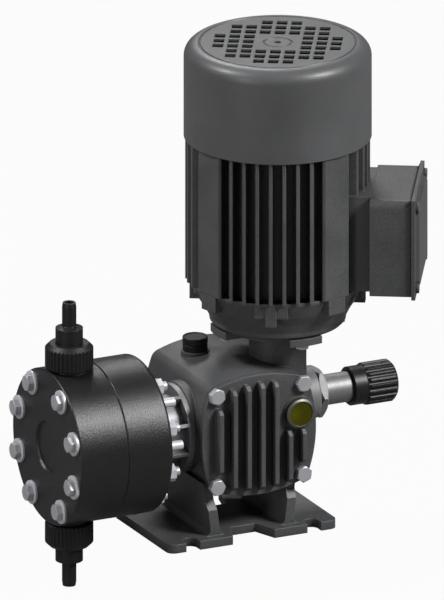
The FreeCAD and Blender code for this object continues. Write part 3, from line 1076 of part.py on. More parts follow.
def motor_inside():
    """Rear shield, stator, windings, rotor, shaft, bearings, fan and tie bolts."""
    rear = motor_body("motor_rear_shield")
    top = "(rear_low+rear_thick)"
    spin(rear, "disc", "Z", [
        ("rotor_shaft_r+fit+1", top), ("rotor_shaft_r+fit+1", f"{top}-2"), ("motor_bearing_r+fit", f"{top}-2"),
        ("motor_bearing_r+fit", f"{top}-2-motor_bearing"), ("motor_bearing_r+4", f"{top}-2-motor_bearing"),
        ("motor_bearing_r+4", "frame_high-2"), ("frame_bore_r-fit", "frame_high-2"),
        ("frame_bore_r-fit", "frame_high"),
        ("fin_reach-1.5", "frame_high"), ("fin_reach-1.5", top),
    ])
    cut(rear, "tie_holes", "XY_Plane", "frame_high-1", "4",
        *[circle(x, y, "tie_r+thread_gap") for x, y in tie_places()])
    stator = motor_body("stator_core")
    spin(stator, "stack", "Z", rectangle("stator_bore_r", "stack_low", "frame_bore_r-fit", "stack_high"))
    windings = motor_body("stator_windings")
    heads = []
    for low in ("stack_low-winding_high", "stack_high"):
        end = f"({low}+winding_high)"
        heads.append([
            ("winding_in_r+2", low), ("winding_r-2", low), ("winding_r", f"{low}+2"), ("winding_r", f"{end}-2"),
            ("winding_r-2", end), ("winding_in_r+2", end), ("winding_in_r", f"{end}-2"),
            ("winding_in_r", f"{low}+2"),
        ])
    spin(windings, "heads", "Z", *heads)
    rotor = new_body("rotor_core", MOTOR_X, 0, MOTOR_BASE)
    spin(rotor, "cage", "Z", [
        ("rotor_shaft_r+fit", "stack_low-6"), ("rotor_r-8", "stack_low-6"), ("rotor_r", "stack_low"),
        ("rotor_r", "stack_high"), ("rotor_r-8", "stack_high+6"), ("rotor_shaft_r+fit", "stack_high+6"),
    ])
    shaft = new_body("motor_shaft", MOTOR_X, 0, MOTOR_BASE)
    seat = "(flange_high+shield_wall)"
    spin(shaft, "shaft", "Z", [
        ("0", "shaft_low"), ("motor_shaft_r-0.6", "shaft_low"), ("motor_shaft_r", "shaft_low+0.6"),
        ("motor_shaft_r", f"{seat}+motor_bearing"), ("rotor_shaft_r", f"{seat}+motor_bearing+1"),
        ("rotor_shaft_r", f"{top}-2-motor_bearing-1"), ("motor_shaft_r", f"{top}-2-motor_bearing"),
        ("motor_shaft_r", "fan_high-2"), ("0", "fan_high-2"),
    ])
    bearings = new_body("motor_bearings", MOTOR_X, 0, MOTOR_BASE)
    spin(bearings, "rings", "Z",
         bearing_section("Z", "motor_shaft_r+fit", "motor_bearing_r", seat, f"{seat}+motor_bearing"),
         bearing_section("Z", "motor_shaft_r+fit", "motor_bearing_r", f"{top}-2-motor_bearing", f"{top}-2"))
    fan = new_body("cooling_fan", MOTOR_X, 0, MOTOR_BASE)
    spin(fan, "hub", "Z", [
        ("motor_shaft_r+fit", "fan_low"), ("fan_hub_r", "fan_low"), ("fan_r", "fan_low+4"), ("fan_r", "fan_low+6"),
        ("fan_hub_r", "fan_low+3"), ("fan_hub_r-2", "fan_high"), ("motor_shaft_r+fit", "fan_high"),
    ])
    blade = pad(fan, "blade", "XY_Plane", "fan_low+2.5", "fan_high-fan_low-4",
                rectangle("fan_hub_r-3", "-blade_thick/2", "fan_r-1", "blade_thick/2"))
    around(fan, "blades", "Z", "fan_blades", blade)
    ties = motor_body("tie_bolts")
    pad(ties, "stems", "XY_Plane", "frame_low", "frame_high-frame_low+2",
        *[circle(x, y, "tie_r") for x, y in tie_places()])
    pad(ties, "heads", "XY_Plane", "frame_low-tie_head_drop", "tie_head_drop",
        *[circle(x, y, "tie_head_r") for x, y in tie_places()])


# Terminal box on the motor's side

def terminal_box():
    """The box with its gasket, lid, screws and cable gland."""
    box = motor_body("terminal_box")
    pad(box, "shell", "YZ_Plane", "box_in", "box_out-box_in",
        rectangle("-box_half", "box_low", "box_half", "box_high"))
    soften(box, "rounded_top", "Fillet", "box_round",
           lambda e: abs(e.CenterOfMass.z - value("box_high")) < 0.01
           and abs(abs(e.CenterOfMass.y) - value("box_half")) < 0.01)
    cut(box, "inside", "YZ_Plane", "box_in+box_wall", "box_out-box_in",
        rectangle("-box_half+box_wall", "box_low+box_wall", "box_half-box_wall", "box_high-box_wall"))
    bosses = [(f"{sy}*(box_half-lid_screw_in)", z) for sy in (1, -1)
              for z in ("box_low+lid_screw_in", "box_high-lid_screw_in")]
    pad(box, "screw_posts", "YZ_Plane", "box_in+1", "box_out-box_in-1",
        *[circle(y, z, "lid_screw_r+2.5") for y, z in bosses])
    cut(box, "screw_holes", "YZ_Plane", "box_out-10", "11",
        *[circle(y, z, "lid_screw_r+thread_gap") for y, z in bosses])
    cut(box, "lead_hole", "YZ_Plane", "box_in-1", "box_wall+2",
        rectangle("-box_boss_half+8", "box_boss_low+12", "box_boss_half-8", "box_boss_high-12"))
    cut(box, "gland_hole", "XZ_Plane", "box_half-box_wall-1", "box_wall+2",
        circle("gland_x", "gland_z", "gland_r"))
    gasket = motor_body("terminal_box_gasket")
    pad(gasket, "frame", "YZ_Plane", "box_out", "box_gasket",
        rectangle("-box_half", "box_low", "box_half", "box_high"))
    cut(gasket, "window", "YZ_Plane", "box_out-1", "box_gasket+2",
        [("-box_half+9", "box_low+3"), ("box_half-9", "box_low+3"), ("box_half-9", "box_low+9"),
         ("box_half-3", "box_low+9"), ("box_half-3", "box_high-9"), ("box_half-9", "box_high-9"),
         ("box_half-9", "box_high-3"), ("-box_half+9", "box_high-3"), ("-box_half+9", "box_high-9"),
         ("-box_half+3", "box_high-9"), ("-box_half+3", "box_low+9"), ("-box_half+9", "box_low+9")])
    cut(gasket, "screw_holes", "YZ_Plane", "box_out-1", "box_gasket+2",
        *[circle(y, z, "lid_screw_r+0.3") for y, z in bosses])
    lid = motor_body("terminal_box_lid")
    pad(lid, "plate", "YZ_Plane", "box_out+box_gasket", "lid_thick",
        rectangle("-lid_half", "lid_low", "lid_half", "lid_high"))
    pad(lid, "raised_panel", "YZ_Plane", "box_out+box_gasket+lid_thick-0.5", "lid_rise+0.5",
        rectangle("-lid_half+lid_inset", "lid_low+lid_inset", "lid_half-lid_inset", "lid_high-lid_inset"),
        taper="-lid_taper/2")
    cut(lid, "screw_holes", "YZ_Plane", "box_out", "10", *[circle(y, z, "lid_screw_r+0.3") for y, z in bosses])
    cut(lid, "head_recesses", "YZ_Plane", "box_out+box_gasket+lid_thick", "lid_rise+1",
        *[circle(y, z, "lid_screw_r+2") for y, z in bosses])
    screws = motor_body("terminal_lid_screws")
    face = "(box_out+box_gasket+lid_thick)"
    pad(screws, "stems", "YZ_Plane", f"{face}-9", "9", *[circle(y, z, "lid_screw_r") for y, z in bosses])
    pad(screws, "heads", "YZ_Plane", face, "lid_rise-0.3", *[circle(y, z, "lid_screw_r+1.7") for y, z in bosses])
    gland = motor_body("cable_gland")
    pad(gland, "thread", "XZ_Plane", "box_half-box_wall-3", "box_wall+4",
        circle("gland_x", "gland_z", "gland_r-fit"))
    pad(gland, "hexagon", "XZ_Plane", "box_half", "5", hexagon("gland_x", "gland_z", "gland_across"))
    pad(gland, "dome", "XZ_Plane", "box_half+4", "gland_out-4", circle("gland_x", "gland_z", "gland_r"))
    cut(gland, "bore", "XZ_Plane", "box_half-box_wall-4", "gland_out+box_wall+5",
        circle("gland_x", "gland_z", "gland_bore_r"))


def build():
    """Every piece, outside first."""
    gear_casing()
    casing_cover()
    cover_gasket()
    cover_screws()
    sight_glass()
    plugs()
    worm()
    worm_wheel()
    worm_bearings()
    eccentric_drive()
    yoke()
    push_rod_parts()
    lantern()
    rod_guides()
    head_back_plate()
    diaphragm()
    pump_head()
    head_fasteners()
    valves()
    adjuster()
    flange_screws()
    motor_end_shield()
    motor_frame()
    fan_cowl()
    motor_inside()
    terminal_box()


def faults():
    """Objects that failed, cuts that took nothing away and shapes that aren't sound."""
    found = []
    for item in doc.Objects:
        if any(word in item.State for word in ("Invalid", "Error")):
            found.append(f"{item.Label} is {item.State}")
        if item.TypeId in ("PartDesign::Pocket", "PartDesign::Groove"):
            if item.Shape.Volume > item.BaseFeature.Shape.Volume - 0.01:
                found.append(f"{item.Label} cuts nothing")
    for piece in pieces:
        if piece.Shape.isNull() or not piece.Shape.isValid() or not piece.Shape.Solids:
            found.append(f"{piece.Label} has no sound shape")
    return found


build()
doc.recompute()
problems = faults()
if problems:
    raise RuntimeError("; ".join(problems))
os.makedirs("parts", exist_ok=True)
for piece in pieces:
    piece.Shape.exportStep(f"parts/{piece.Label}.step")
print(len(pieces), "nodes written")
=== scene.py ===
# %% [markdown]
# A diaphragm metering pump, dressed for the camera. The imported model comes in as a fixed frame, in
# metres: its solids already have the right shape and place, so the work here is finish, small
# detail and light. We load it first and note its box, because nothing that we add may make the
# pump larger.

# %% Load the pump
import json
import math

import bmesh
import bpy
from mathutils import Matrix, Vector


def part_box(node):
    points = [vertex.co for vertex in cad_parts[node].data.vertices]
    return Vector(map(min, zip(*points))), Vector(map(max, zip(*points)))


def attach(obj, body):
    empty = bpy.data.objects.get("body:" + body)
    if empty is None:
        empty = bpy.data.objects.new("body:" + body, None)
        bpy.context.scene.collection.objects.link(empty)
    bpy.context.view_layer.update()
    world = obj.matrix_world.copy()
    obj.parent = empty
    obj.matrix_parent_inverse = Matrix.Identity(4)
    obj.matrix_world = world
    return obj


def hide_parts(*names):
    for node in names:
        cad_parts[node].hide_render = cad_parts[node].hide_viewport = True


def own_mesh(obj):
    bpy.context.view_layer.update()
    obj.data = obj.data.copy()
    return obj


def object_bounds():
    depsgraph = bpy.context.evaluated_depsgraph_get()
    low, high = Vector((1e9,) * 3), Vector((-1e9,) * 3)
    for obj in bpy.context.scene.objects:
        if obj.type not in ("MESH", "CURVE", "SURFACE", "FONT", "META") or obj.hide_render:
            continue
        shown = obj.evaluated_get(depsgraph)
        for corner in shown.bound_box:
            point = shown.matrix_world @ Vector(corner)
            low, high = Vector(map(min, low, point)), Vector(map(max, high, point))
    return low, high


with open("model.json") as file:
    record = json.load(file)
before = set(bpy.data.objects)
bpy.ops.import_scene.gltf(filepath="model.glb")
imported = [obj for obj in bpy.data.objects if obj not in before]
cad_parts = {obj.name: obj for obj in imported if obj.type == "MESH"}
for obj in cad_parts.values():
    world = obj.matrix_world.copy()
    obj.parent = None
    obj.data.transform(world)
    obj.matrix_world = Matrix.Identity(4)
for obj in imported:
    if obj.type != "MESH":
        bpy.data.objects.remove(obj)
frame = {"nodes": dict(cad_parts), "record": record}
nodes = frame["nodes"]
cad_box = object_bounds()

# %% [markdown]
# The main lines of the pump are named once, each by a point on it. X runs from the dosing head to
# the stroke knob, Y away from the gear cover, and Z up along the motor. Everything that turns or
# slides does so about one of these lines, and the lathe marks of turned pieces run round them.

# %% Main lines
AXIS_Z = 0.072
DRIVE_X = 0.0062
ADJUST_Y = 0.024
HEAD_LINE = (0, 0, AXIS_Z)
DRIVE_LINE = (DRIVE_X, 0, AXIS_Z)
ADJUST_LINE = (0, ADJUST_Y, AXIS_Z)
MOTOR_LINE = (0.03799, 0, 0)
SIGHT_GLASS_LINE = (0.0286, 0, 0.0835)

# %% [markdown]
# A finish is a tree of shader nodes. Wiring one by hand takes many lines, so a small class holds a
# socket and lets us write sums with it: each plus, minus or times adds a Math node, also with a
# plain number on the left, as in 1 - mask. Colours are mixed with the Mix node instead, because a
# Math node would turn them grey.

# %% Sums with sockets
class Wire:
    """One output socket of a finish, which can stand in a sum."""

    def __init__(self, finish, socket):
        self.finish = finish
        self.socket = socket

    def maths(self, operation, first, second):
        node = self.finish.add("ShaderNodeMath", {0: first, 1: second}, operation=operation)
        return Wire(self.finish, node.outputs[0])

    def __add__(self, other):
        return self.maths("ADD", self, other)

    def __mul__(self, other):
        return self.maths("MULTIPLY", self, other)

    def __sub__(self, other):
        return self.maths("SUBTRACT", self, other)

    def __rsub__(self, other):
        return self.maths("SUBTRACT", other, self)

    def __pow__(self, other):
        return self.maths("POWER", self, other)

    __radd__ = __add__
    __rmul__ = __mul__

    def spread(self, start, end):
        """0 at start and 1 at end, held inside those."""
        sockets = {"Value": self, "From Min": start, "From Max": end}
        node = self.finish.add("ShaderNodeMapRange", sockets, clamp=True)
        return Wire(self.finish, node.outputs[0])


# %% [markdown]
# Every finish is one Principled material. Its class knows how to add a node: the settings are set
# first, and then each socket gets a value or a link. Whatever changes over the surface feeds only
# the colour, the roughness or the normal, since those can be baked later.

# %% One material
class PlainFinish:
    """A material with one Principled shader, which reads Object coordinates."""

    def __init__(self, name, colour, rough, metal=0.0, coat=0.0, coat_rough=0.1):
        self.material = bpy.data.materials.new(name)
        self.material.use_nodes = True
        self.material.diffuse_color = (*colour, 1)
        self.tree = self.material.node_tree
        self.shader = self.tree.nodes["Principled BSDF"]
        self.place = self.add("ShaderNodeTexCoord").outputs["Object"]
        self.feed(self.shader, {"Base Color": colour, "Roughness": rough, "Metallic": metal,
                                "Coat Weight": coat, "Coat Roughness": coat_rough})

    def add(self, kind, sockets=None, **settings):
        """A new node with its settings, and the values or links of its sockets."""
        node = self.tree.nodes.new(kind)
        for name, setting in settings.items():
            setattr(node, name, setting)
        self.feed(node, sockets or {})
        return node

    def feed(self, node, sockets):
        """Gives sockets, by name or by number, a link, a colour or a number."""
        for key, item in sockets.items():
            socket = node.inputs[key]
            if isinstance(item, Wire):
                self.tree.links.new(item.socket, socket)
            elif isinstance(item, bpy.types.NodeSocket):
                self.tree.links.new(item, socket)
            elif socket.type == "RGBA":
                socket.default_value = (*item, 1)
            else:
                socket.default_value = item

    def colour(self, item):
        self.feed(self.shader, {"Base Color": item})

    def rough(self, item):
        self.feed(self.shader, {"Roughness": item})

    def sheen_level(self, level):
        """How strongly a non-metal mirrors: 0.5 is plain plastic."""
        self.feed(self.shader, {"Specular IOR Level": level})


def shade(colour, times, plus=0.0):
    """A lighter or darker tone of a colour."""
    return tuple(c * times + plus for c in colour)


print("a finish starts plain")

# %% [markdown]
# The patterns that workshop surfaces need come next: cloudy and grainy noise, a mask of the edges,
# where paint is thin and hands rub and where a highlight is painted on, and a mask of the hollows,
# where shade is painted in. The edge mask could come from the mesh, but a imported solid is loose
# triangles, so it compares the true normal with a rounded one instead.

# %% Patterns
class Finish(PlainFinish):
    """A material built up from patterns on Object coordinates, in metres."""

    def noise(self, size, detail=3.0, rough=0.5, place=None):
        """Cloudy noise from 0 to 1, whose blobs are about size metres across."""
        sockets = {"Vector": place or self.place, "Scale": 1 / size,
                   "Detail": detail, "Roughness": rough}
        return Wire(self, self.add("ShaderNodeTexNoise", sockets).outputs[0])

    def moved(self, centre=(0, 0, 0), stretch=(1, 1, 1)):
        """Object coordinates counted from a centre and stretched."""
        shift = self.add("ShaderNodeVectorMath", {0: self.place, 1: centre}, operation="SUBTRACT")
        sockets = {"Vector": shift.outputs[0], "Scale": stretch}
        return self.add("ShaderNodeMapping", sockets).outputs[0]

    def axis(self, letter, place=None):
        """One coordinate, in metres."""
        node = self.add("ShaderNodeSeparateXYZ", {0: place or self.place})
        return Wire(self, node.outputs["XYZ".index(letter)])

    def edges(self, radius=0.0008):
        """0 on open faces, rising to 1 on edges and corners."""
        rounded = self.add("ShaderNodeBevel", {"Radius": radius}, samples=4).outputs[0]
        true = self.add("ShaderNodeNewGeometry").outputs["Normal"]
        dot = self.add("ShaderNodeVectorMath", {0: rounded, 1: true}, operation="DOT_PRODUCT")
        return Wire(self, dot.outputs["Value"]).spread(0.985, 0.8)

    def hollows(self, reach):
        """0 in the open, rising towards 1 deep in a corner."""
        node = self.add("ShaderNodeAmbientOcclusion", {"Distance": reach}, samples=6)
        return 1 - Wire(self, node.outputs["AO"])

    def blend(self, mask, first, second):
        """The first colour where the mask is 0 and the second where it is 1."""
        sockets = {0: mask, 6: first, 7: second}
        return self.add("ShaderNodeMix", sockets, data_type="RGBA").outputs[2]

    def relief(self, height, depth, strength=0.5, soften=0.0):
        """A bump for heights of 0 to 1, depth metres deep, over edges rounded by soften metres."""
        sockets = {"Height": height, "Strength": strength, "Distance": depth}
        if soften:
            rounded = self.add("ShaderNodeBevel", {"Radius": soften}, samples=6)
            sockets["Normal"] = rounded.outputs[0]
        self.feed(self.shader, {"Normal": self.add("ShaderNodeBump", sockets).outputs[0]})


print("noise, edges, hollows and relief")

# %% [markdown]
# The gear casing, its cover and the motor are cast aluminium under dark grey enamel. Sand casting
# leaves a grainy skin that the paint follows and half fills. A picture of such paint would need an
# unwrapped surface, so noise in space is used: a fine one and one nine times as coarse make the
# skin, the enamel's gloss changes with it, and the edges are rounded in the shading, as castings
# have no sharp ones. The hollows get painted shade, and the edges are paler, partly from wear and
# partly as a painted highlight.

# %% Cast paint
SAND_GRAIN = 0.0011


def cast_paint(name, colour, gloss):
    finish = Finish(name, colour, gloss, coat=0.05, coat_rough=0.3)
    skin = finish.noise(SAND_GRAIN, 4)
    swell = finish.noise(SAND_GRAIN * 9, 3)
    clouds = finish.noise(0.035, 4)
    mottle = clouds.spread(0.35, 0.65) * 0.5 + skin.spread(0.38, 0.62) * 0.5
    paint = finish.blend(mottle, shade(colour, 0.72), shade(colour, 1.25))
    # Painted shade: the hollows between fins and ribs are painted darker.
    paint = finish.blend(finish.hollows(0.01).spread(0.25, 0.75), paint, shade(colour, 0.5))
    # Paler edges: partly wear, partly a painted highlight along them.
    worn_and_highlit = finish.edges() * (0.25 + 0.5 * swell)
    finish.colour(finish.blend(worn_and_highlit, paint, shade(colour, 2.0, 0.03)))
    finish.rough(gloss - 0.08 + 0.1 * skin + 0.12 * clouds)
    finish.relief(skin + swell, 0.00034, 0.6, soften=0.0009)
    return finish.material


paint = cast_paint("cast_paint", (0.068, 0.069, 0.071), 0.46)
print(paint.name, len(paint.node_tree.nodes), "nodes")

# %% [markdown]
# The fan cowl is pressed from sheet, so its enamel is smoother: a faint orange peel instead of
# casting grain, and long soft drawing marks that run up its side. A noise that is stretched along
# Z gives such marks with no need to unwrap the cowl.

# %% Pressed paint
def pressed_paint(name, colour):
    finish = Finish(name, colour, 0.42, coat=0.1, coat_rough=0.25)
    peel = finish.noise(0.0013, 3)
    drawn = finish.noise(0.004, 3, place=finish.moved(stretch=(1, 1, 0.06)))
    clouds = finish.noise(0.05, 3)
    paint = finish.blend(clouds.spread(0.3, 0.7), shade(colour, 0.85), shade(colour, 1.1))
    # Paler edges: partly wear, partly a painted highlight along them.
    pale = shade(colour, 1.25, 0.01)
    finish.colour(finish.blend(finish.edges(0.0006) * 0.5, paint, pale))
    finish.rough(0.37 + 0.1 * clouds + 0.06 * drawn)
    finish.relief(peel + 0.3 * drawn, 0.00022, 0.5, soften=0.0006)
    return finish.material


cowl_paint = pressed_paint("cowl_paint", (0.076, 0.077, 0.079))
print(cowl_paint.name, len(cowl_paint.node_tree.nodes), "nodes")

# %% [markdown]
# The valve fittings, union nuts and the knob are moulded from black plastic. Such plastic has a
# satin skin with a fine leathery grain and slow swirls from the melt. Its edges are a little paler,
# partly where it is handled and partly as a painted highlight. An even black would look like a hole
# in the picture, so its tone and its gloss both vary.

# %% Moulded plastic
def satin_plastic(name, colour, gloss):
    finish = Finish(name, colour, gloss)
    finish.sheen_level(0.4)
    skin = finish.noise(0.0005, 3)
    swirl = finish.noise(0.02, 5, 0.6)
    tone = finish.blend(swirl.spread(0.3, 0.7), colour, shade(colour, 1.35, 0.002))
    # Paler edges: partly wear where it is handled, partly a painted highlight along the ridges.
    handled_and_highlit = finish.edges(0.0006) * (0.3 + 0.5 * swirl)
    finish.colour(finish.blend(handled_and_highlit, tone, shade(colour, 1.6, 0.012)))
    finish.rough(gloss - 0.07 + 0.1 * skin + 0.1 * swirl)
    finish.relief(skin, 0.0001, 0.4, soften=0.0006)
    return finish.material


black_fitting = satin_plastic("fitting_plastic", (0.004, 0.004, 0.0045), 0.46)
black_knob = satin_plastic("knob_plastic", (0.007, 0.007, 0.0075), 0.38)
print(black_fitting.name, "and", black_knob.name)

# %% [markdown]
# The dosing head is turned from a thick black plate, which leaves fine rings round its axis. They
# catch the light on its rim. A wave pattern would space them too evenly, so they are a noise that
# is read by the distance from the axis and the place along it, and doesn't change on the way round.

# %% Turned plastic
def away_from(finish, axis, place):
    """The distance from an axis, in metres."""
    a, b = [letter for letter in "XYZ" if letter != axis]
    return (finish.axis(a, place) ** 2 + finish.axis(b, place) ** 2) ** 0.5


def turned(finish, centre, axis, pitch):
    """Rings round an axis through a centre, pitch metres apart, from 0 to 1."""
    place = finish.moved(centre)
    sockets = {0: away_from(finish, axis, place), 1: finish.axis(axis, place)}
    unrolled = finish.add("ShaderNodeCombineXYZ", sockets).outputs[0]
    return finish.noise(pitch, 2, place=unrolled)


def head_plastic(name, colour):
    finish = Finish(name, colour, 0.36)
    finish.sheen_level(0.6)
    rings = turned(finish, HEAD_LINE, "X", 0.0006)
    skin = finish.noise(0.0008, 3)
    swirl = finish.noise(0.03, 4, 0.6)
    tone = finish.blend(swirl.spread(0.3, 0.7), colour, shade(colour, 1.4, 0.002))
    # Paler edges: partly wear, partly a painted highlight along the rim.
    finish.colour(finish.blend(finish.edges(0.0007) * 0.6, tone, shade(colour, 2, 0.01)))
    finish.rough(0.31 + 0.06 * rings + 0.08 * swirl)
    finish.relief(0.4 * rings + skin, 0.0003, 0.6, soften=0.0007)
    return finish.material


black_head = head_plastic("head_plastic", (0.0042, 0.0042, 0.0048))
print(black_head.name, len(black_head.node_tree.nodes), "nodes")

# %% [markdown]
# Bare metals come in several kinds here. Zinc plating on the screws is cloudy and faintly blue,
# the lantern and the adjuster are turned on a lathe, so they carry fine rings, and the motor core
# is a stack of thin sheets. One function makes them all from a colour, a roughness and a height
# pattern. A metal share below 1 stands for a dull, plated or oxidised skin.

# %% Bare metals
def bare_metal(name, colour, gloss, pattern, depth=0.00005, tint=None, metal=1.0):
    finish = Finish(name, colour, gloss, metal=metal)
    height = pattern(finish)
    cloud = finish.noise(0.012, 4, 0.6)
    tone = finish.blend(cloud.spread(0.35, 0.65), colour, tint or shade(colour, 0.82))
    # Painted shade: the hollows, such as round a bolt's head, are painted darker.
    hollow_shade = finish.hollows(0.004).spread(0.3, 0.8)
    finish.colour(finish.blend(hollow_shade, tone, shade(colour, 0.35)))
    finish.rough(gloss - 0.06 + 0.12 * height + 0.1 * cloud)
    finish.relief(height, depth, 0.5, soften=0.0004)
    return finish.material


def grain(size):
    """A plain fine grain."""
    return lambda finish: finish.noise(size, 3)


def rings_about(line, axis, pitch):
    """Lathe marks round one of the main lines."""
    return lambda finish: turned(finish, line, axis, pitch)


def sheets(pitch):
    """Sheets stacked along Z: a sharp line between each and the next."""
    def pattern(finish):
        sockets = {0: finish.axis("Z"), 1: pitch / 2}
        saw = finish.add("ShaderNodeMath", sockets, operation="PINGPONG")
        return Wire(finish, saw.outputs[0]).spread(0, pitch / 5)
    return pattern


zinc = bare_metal("zinc_plate", (0.72, 0.72, 0.75), 0.42, grain(0.0007),
                  tint=(0.6, 0.605, 0.64), metal=0.35)
dull_zinc = bare_metal("bolt_zinc", (0.54, 0.54, 0.565), 0.38, grain(0.0006),
                       tint=(0.44, 0.445, 0.47), metal=0.5)
bright = bare_metal("lantern_metal", (0.3, 0.3, 0.305), 0.44,
                    rings_about(HEAD_LINE, "X", 0.0005), metal=0.7)
print("zinc, two kinds, and the lantern's metal")

# %% [markdown]
# The adjuster, the shafts and the drive follow. Most of these are hidden in the casing or in the
# motor, and they still get their own metal, so that the pump can be opened or cut for a picture.

# %% Metals of the adjuster, the drive and the motor
satin = bare_metal("sleeve_metal", (0.27, 0.27, 0.275), 0.46,
                   rings_about(ADJUST_LINE, "X", 0.0004), metal=0.7)
dulled = bare_metal("ring_metal", (0.25, 0.25, 0.255), 0.5,
                    rings_about(ADJUST_LINE, "X", 0.0005), metal=0.4)
ground = bare_metal("ground_steel", (0.46, 0.46, 0.47), 0.24, grain(0.0005))
bronze = bare_metal("wheel_bronze", (0.55, 0.36, 0.14), 0.3, rings_about(DRIVE_LINE, "Y", 0.0005))
laminate = bare_metal("core_sheets", (0.3, 0.31, 0.33), 0.36, sheets(0.0005), 0.0002)
copper = bare_metal("winding_copper", (0.55, 0.22, 0.09), 0.28,
                    rings_about(MOTOR_LINE, "Z", 0.0009), 0.0003)
bezel = bare_metal("bezel_metal", (0.2, 0.2, 0.18), 0.45,
                   rings_about(SIGHT_GLASS_LINE, "Y", 0.0005))
print(", ".join(metal.name for metal in (satin, dulled, ground, bronze, laminate, copper, bezel)))

# %% [markdown]
# The soft and small things: rubber is matt with a powdery bloom, gasket sheet is felted fibre, and
# the valve balls are ground ceramic with faint flecks. They are nearly hidden, so one noise each
# is enough, and it drives tone and gloss together.

# %% Rubber, gasket and ceramic
def rubber_skin(name, colour):
    finish = Finish(name, colour, 0.6)
    bloom = finish.noise(0.006, 4, 0.6)
    finish.colour(finish.blend(bloom.spread(0.4, 0.75), colour, shade(colour, 1.8, 0.01)))
    finish.rough(0.52 + 0.2 * bloom)
    finish.relief(finish.noise(0.0004, 2), 0.0001, 0.4)
    return finish.material


def fibre_sheet(name, colour):
    finish = Finish(name, colour, 0.8)
    felt = finish.noise(0.0008, 5, 0.7, finish.moved(stretch=(1, 0.3, 1)))
    finish.colour(finish.blend(felt.spread(0.35, 0.65), shade(colour, 0.7), shade(colour, 1.2)))
    finish.rough(0.7 + 0.2 * felt)
    finish.relief(felt, 0.0002, 0.5)
    return finish.material


def ground_ceramic(name, colour):
    finish = Finish(name, colour, 0.18, coat=0.4, coat_rough=0.05)
    fleck = finish.noise(0.0011, 4, 0.6)
    finish.colour(finish.blend(fleck.spread(0.4, 0.7), colour, shade(colour, 0.88)))
    finish.rough(0.14 + 0.1 * fleck)
    finish.relief(fleck, 0.00003, 0.3)
    return finish.material


rubber = rubber_skin("seal_rubber", (0.016, 0.016, 0.016))
fibre = fibre_sheet("gasket_fibre", (0.03, 0.03, 0.03))
ceramic = ground_ceramic("ball_ceramic", (0.78, 0.77, 0.73))
print("rubber, fibre and ceramic")

# %% [markdown]
# The oil behind the sight glass is a deep golden olive. Clear glass over a pool of oil couldn't be
# baked later, so the lens is opaque: it gets the oil's colour from its radius, lighter in the middle
# with painted shade towards the rim, and it mirrors little, so that the colour isn't lost under
# reflections.

# %% Oil behind the lens
def oil_lens(name, colour):
    finish = Finish(name, colour, 0.35, coat=0.04, coat_rough=0.06)
    finish.sheen_level(0.1)
    radius = away_from(finish, "Y", finish.moved(SIGHT_GLASS_LINE))
    cloud = finish.noise(0.004, 3)
    # Painted shade: the oil is lighter in the middle and darker towards the bezel's rim.
    tone = finish.blend(radius.spread(0.001, 0.008), shade(colour, 1.25), shade(colour, 0.7))
    finish.colour(finish.blend(cloud.spread(0.3, 0.8) * 0.5, tone, shade(colour, 0.8)))
    finish.rough(0.3 + 0.1 * cloud)
    finish.relief(cloud, 0.00004, 0.2)
    return finish.material


oil = oil_lens("sight_oil", (0.062, 0.059, 0.001))
print(oil.name, len(oil.node_tree.nodes), "nodes")

# %% [markdown]
# Each node of the frame takes its finish through its material slot. The record already says which
# node belongs to which slot, so the finishes are handed out by slot. A few nodes then get a
# variant: the fittings' duller plastic, and the dull metal of the adjuster's rough collar.

# %% Hand out the finishes
FINISHES = {
    "casing_paint": paint, "cowl_paint": cowl_paint, "head_plastic": black_head,
    "knob_plastic": black_knob, "zinc_steel": zinc, "lantern_aluminium": bright,
    "sleeve_steel": satin, "shaft_steel": ground, "wheel_bronze": bronze, "copper": copper,
    "lamination": laminate, "seal_rubber": rubber, "gasket_sheet": fibre, "sight_lens": oil,
    "bezel_metal": bezel, "ceramic": ceramic,
}
VARIANTS = {
    "union_nuts": black_fitting, "suction_hose_tail": black_fitting,
    "discharge_hose_tail": black_fitting, "valve_cages": black_fitting,
    "valve_seats": black_fitting, "adjuster_lock_ring": dulled, "adjuster_collar": dulled,
}


def wear(piece, material):
    """Gives a piece one material."""
    piece.data.materials.clear()
    piece.data.materials.append(material)


for part in frame["record"]["subparts"]:
    name = part["node"]
    wear(nodes[name], VARIANTS.get(name, FINISHES[part["material_slot"]]))
print("every node has a finish")

# %% [markdown]
# New pieces are modelled with Blender's own tools. A tool acts on all that is selected, so each
# step starts from a clean selection. A finished piece keeps its place in its mesh, with its object
# at the origin, because patterns on Object coordinates would slide otherwise.

# %% Working with pieces
def start_clean():
    """Object mode with nothing selected, as each primitive needs."""
    if bpy.context.object and bpy.context.object.mode != "OBJECT":
        bpy.ops.object.mode_set(mode="OBJECT")
    bpy.ops.object.select_all(action="DESELECT")


def pick(piece):
    """Makes a piece the only one that is selected, and the active one."""
    start_clean()
    piece.select_set(True)
    bpy.context.view_layer.objects.active = piece


def settle(piece):
    """Puts a piece's place, turn and size into its mesh."""
    pick(piece)
    bpy.ops.object.transform_apply(location=True, rotation=True, scale=True)


print("tools for picking and settling")

# %% [markdown]
# Two modifiers do most of the shaping. A Boolean cuts or joins a piece with another, and a Bevel
# takes the sharpness off its edges. The bevel's strips turn by more than 6 degrees from face to
# face. So shading that is smooth only below 6 degrees keeps a hexagon crisp, and the rounds that
# show have 72 sides, which turn by 5 degrees.

# %% Booleans and bevels
SHARP = math.radians(30)
FACET = math.radians(6)


def apply_modifier(piece, modifier):
    pick(piece)
    bpy.ops.object.modifier_apply(modifier=modifier.name)


def apply_boolean(piece, tool, operation):
    """Cuts or joins a piece with a tool, which is then thrown away."""
    modifier = piece.modifiers.new(operation.lower(), "BOOLEAN")
    modifier.operation = operation
    modifier.object = tool
    modifier.solver = "EXACT"
    apply_modifier(piece, modifier)
    bpy.data.objects.remove(tool)


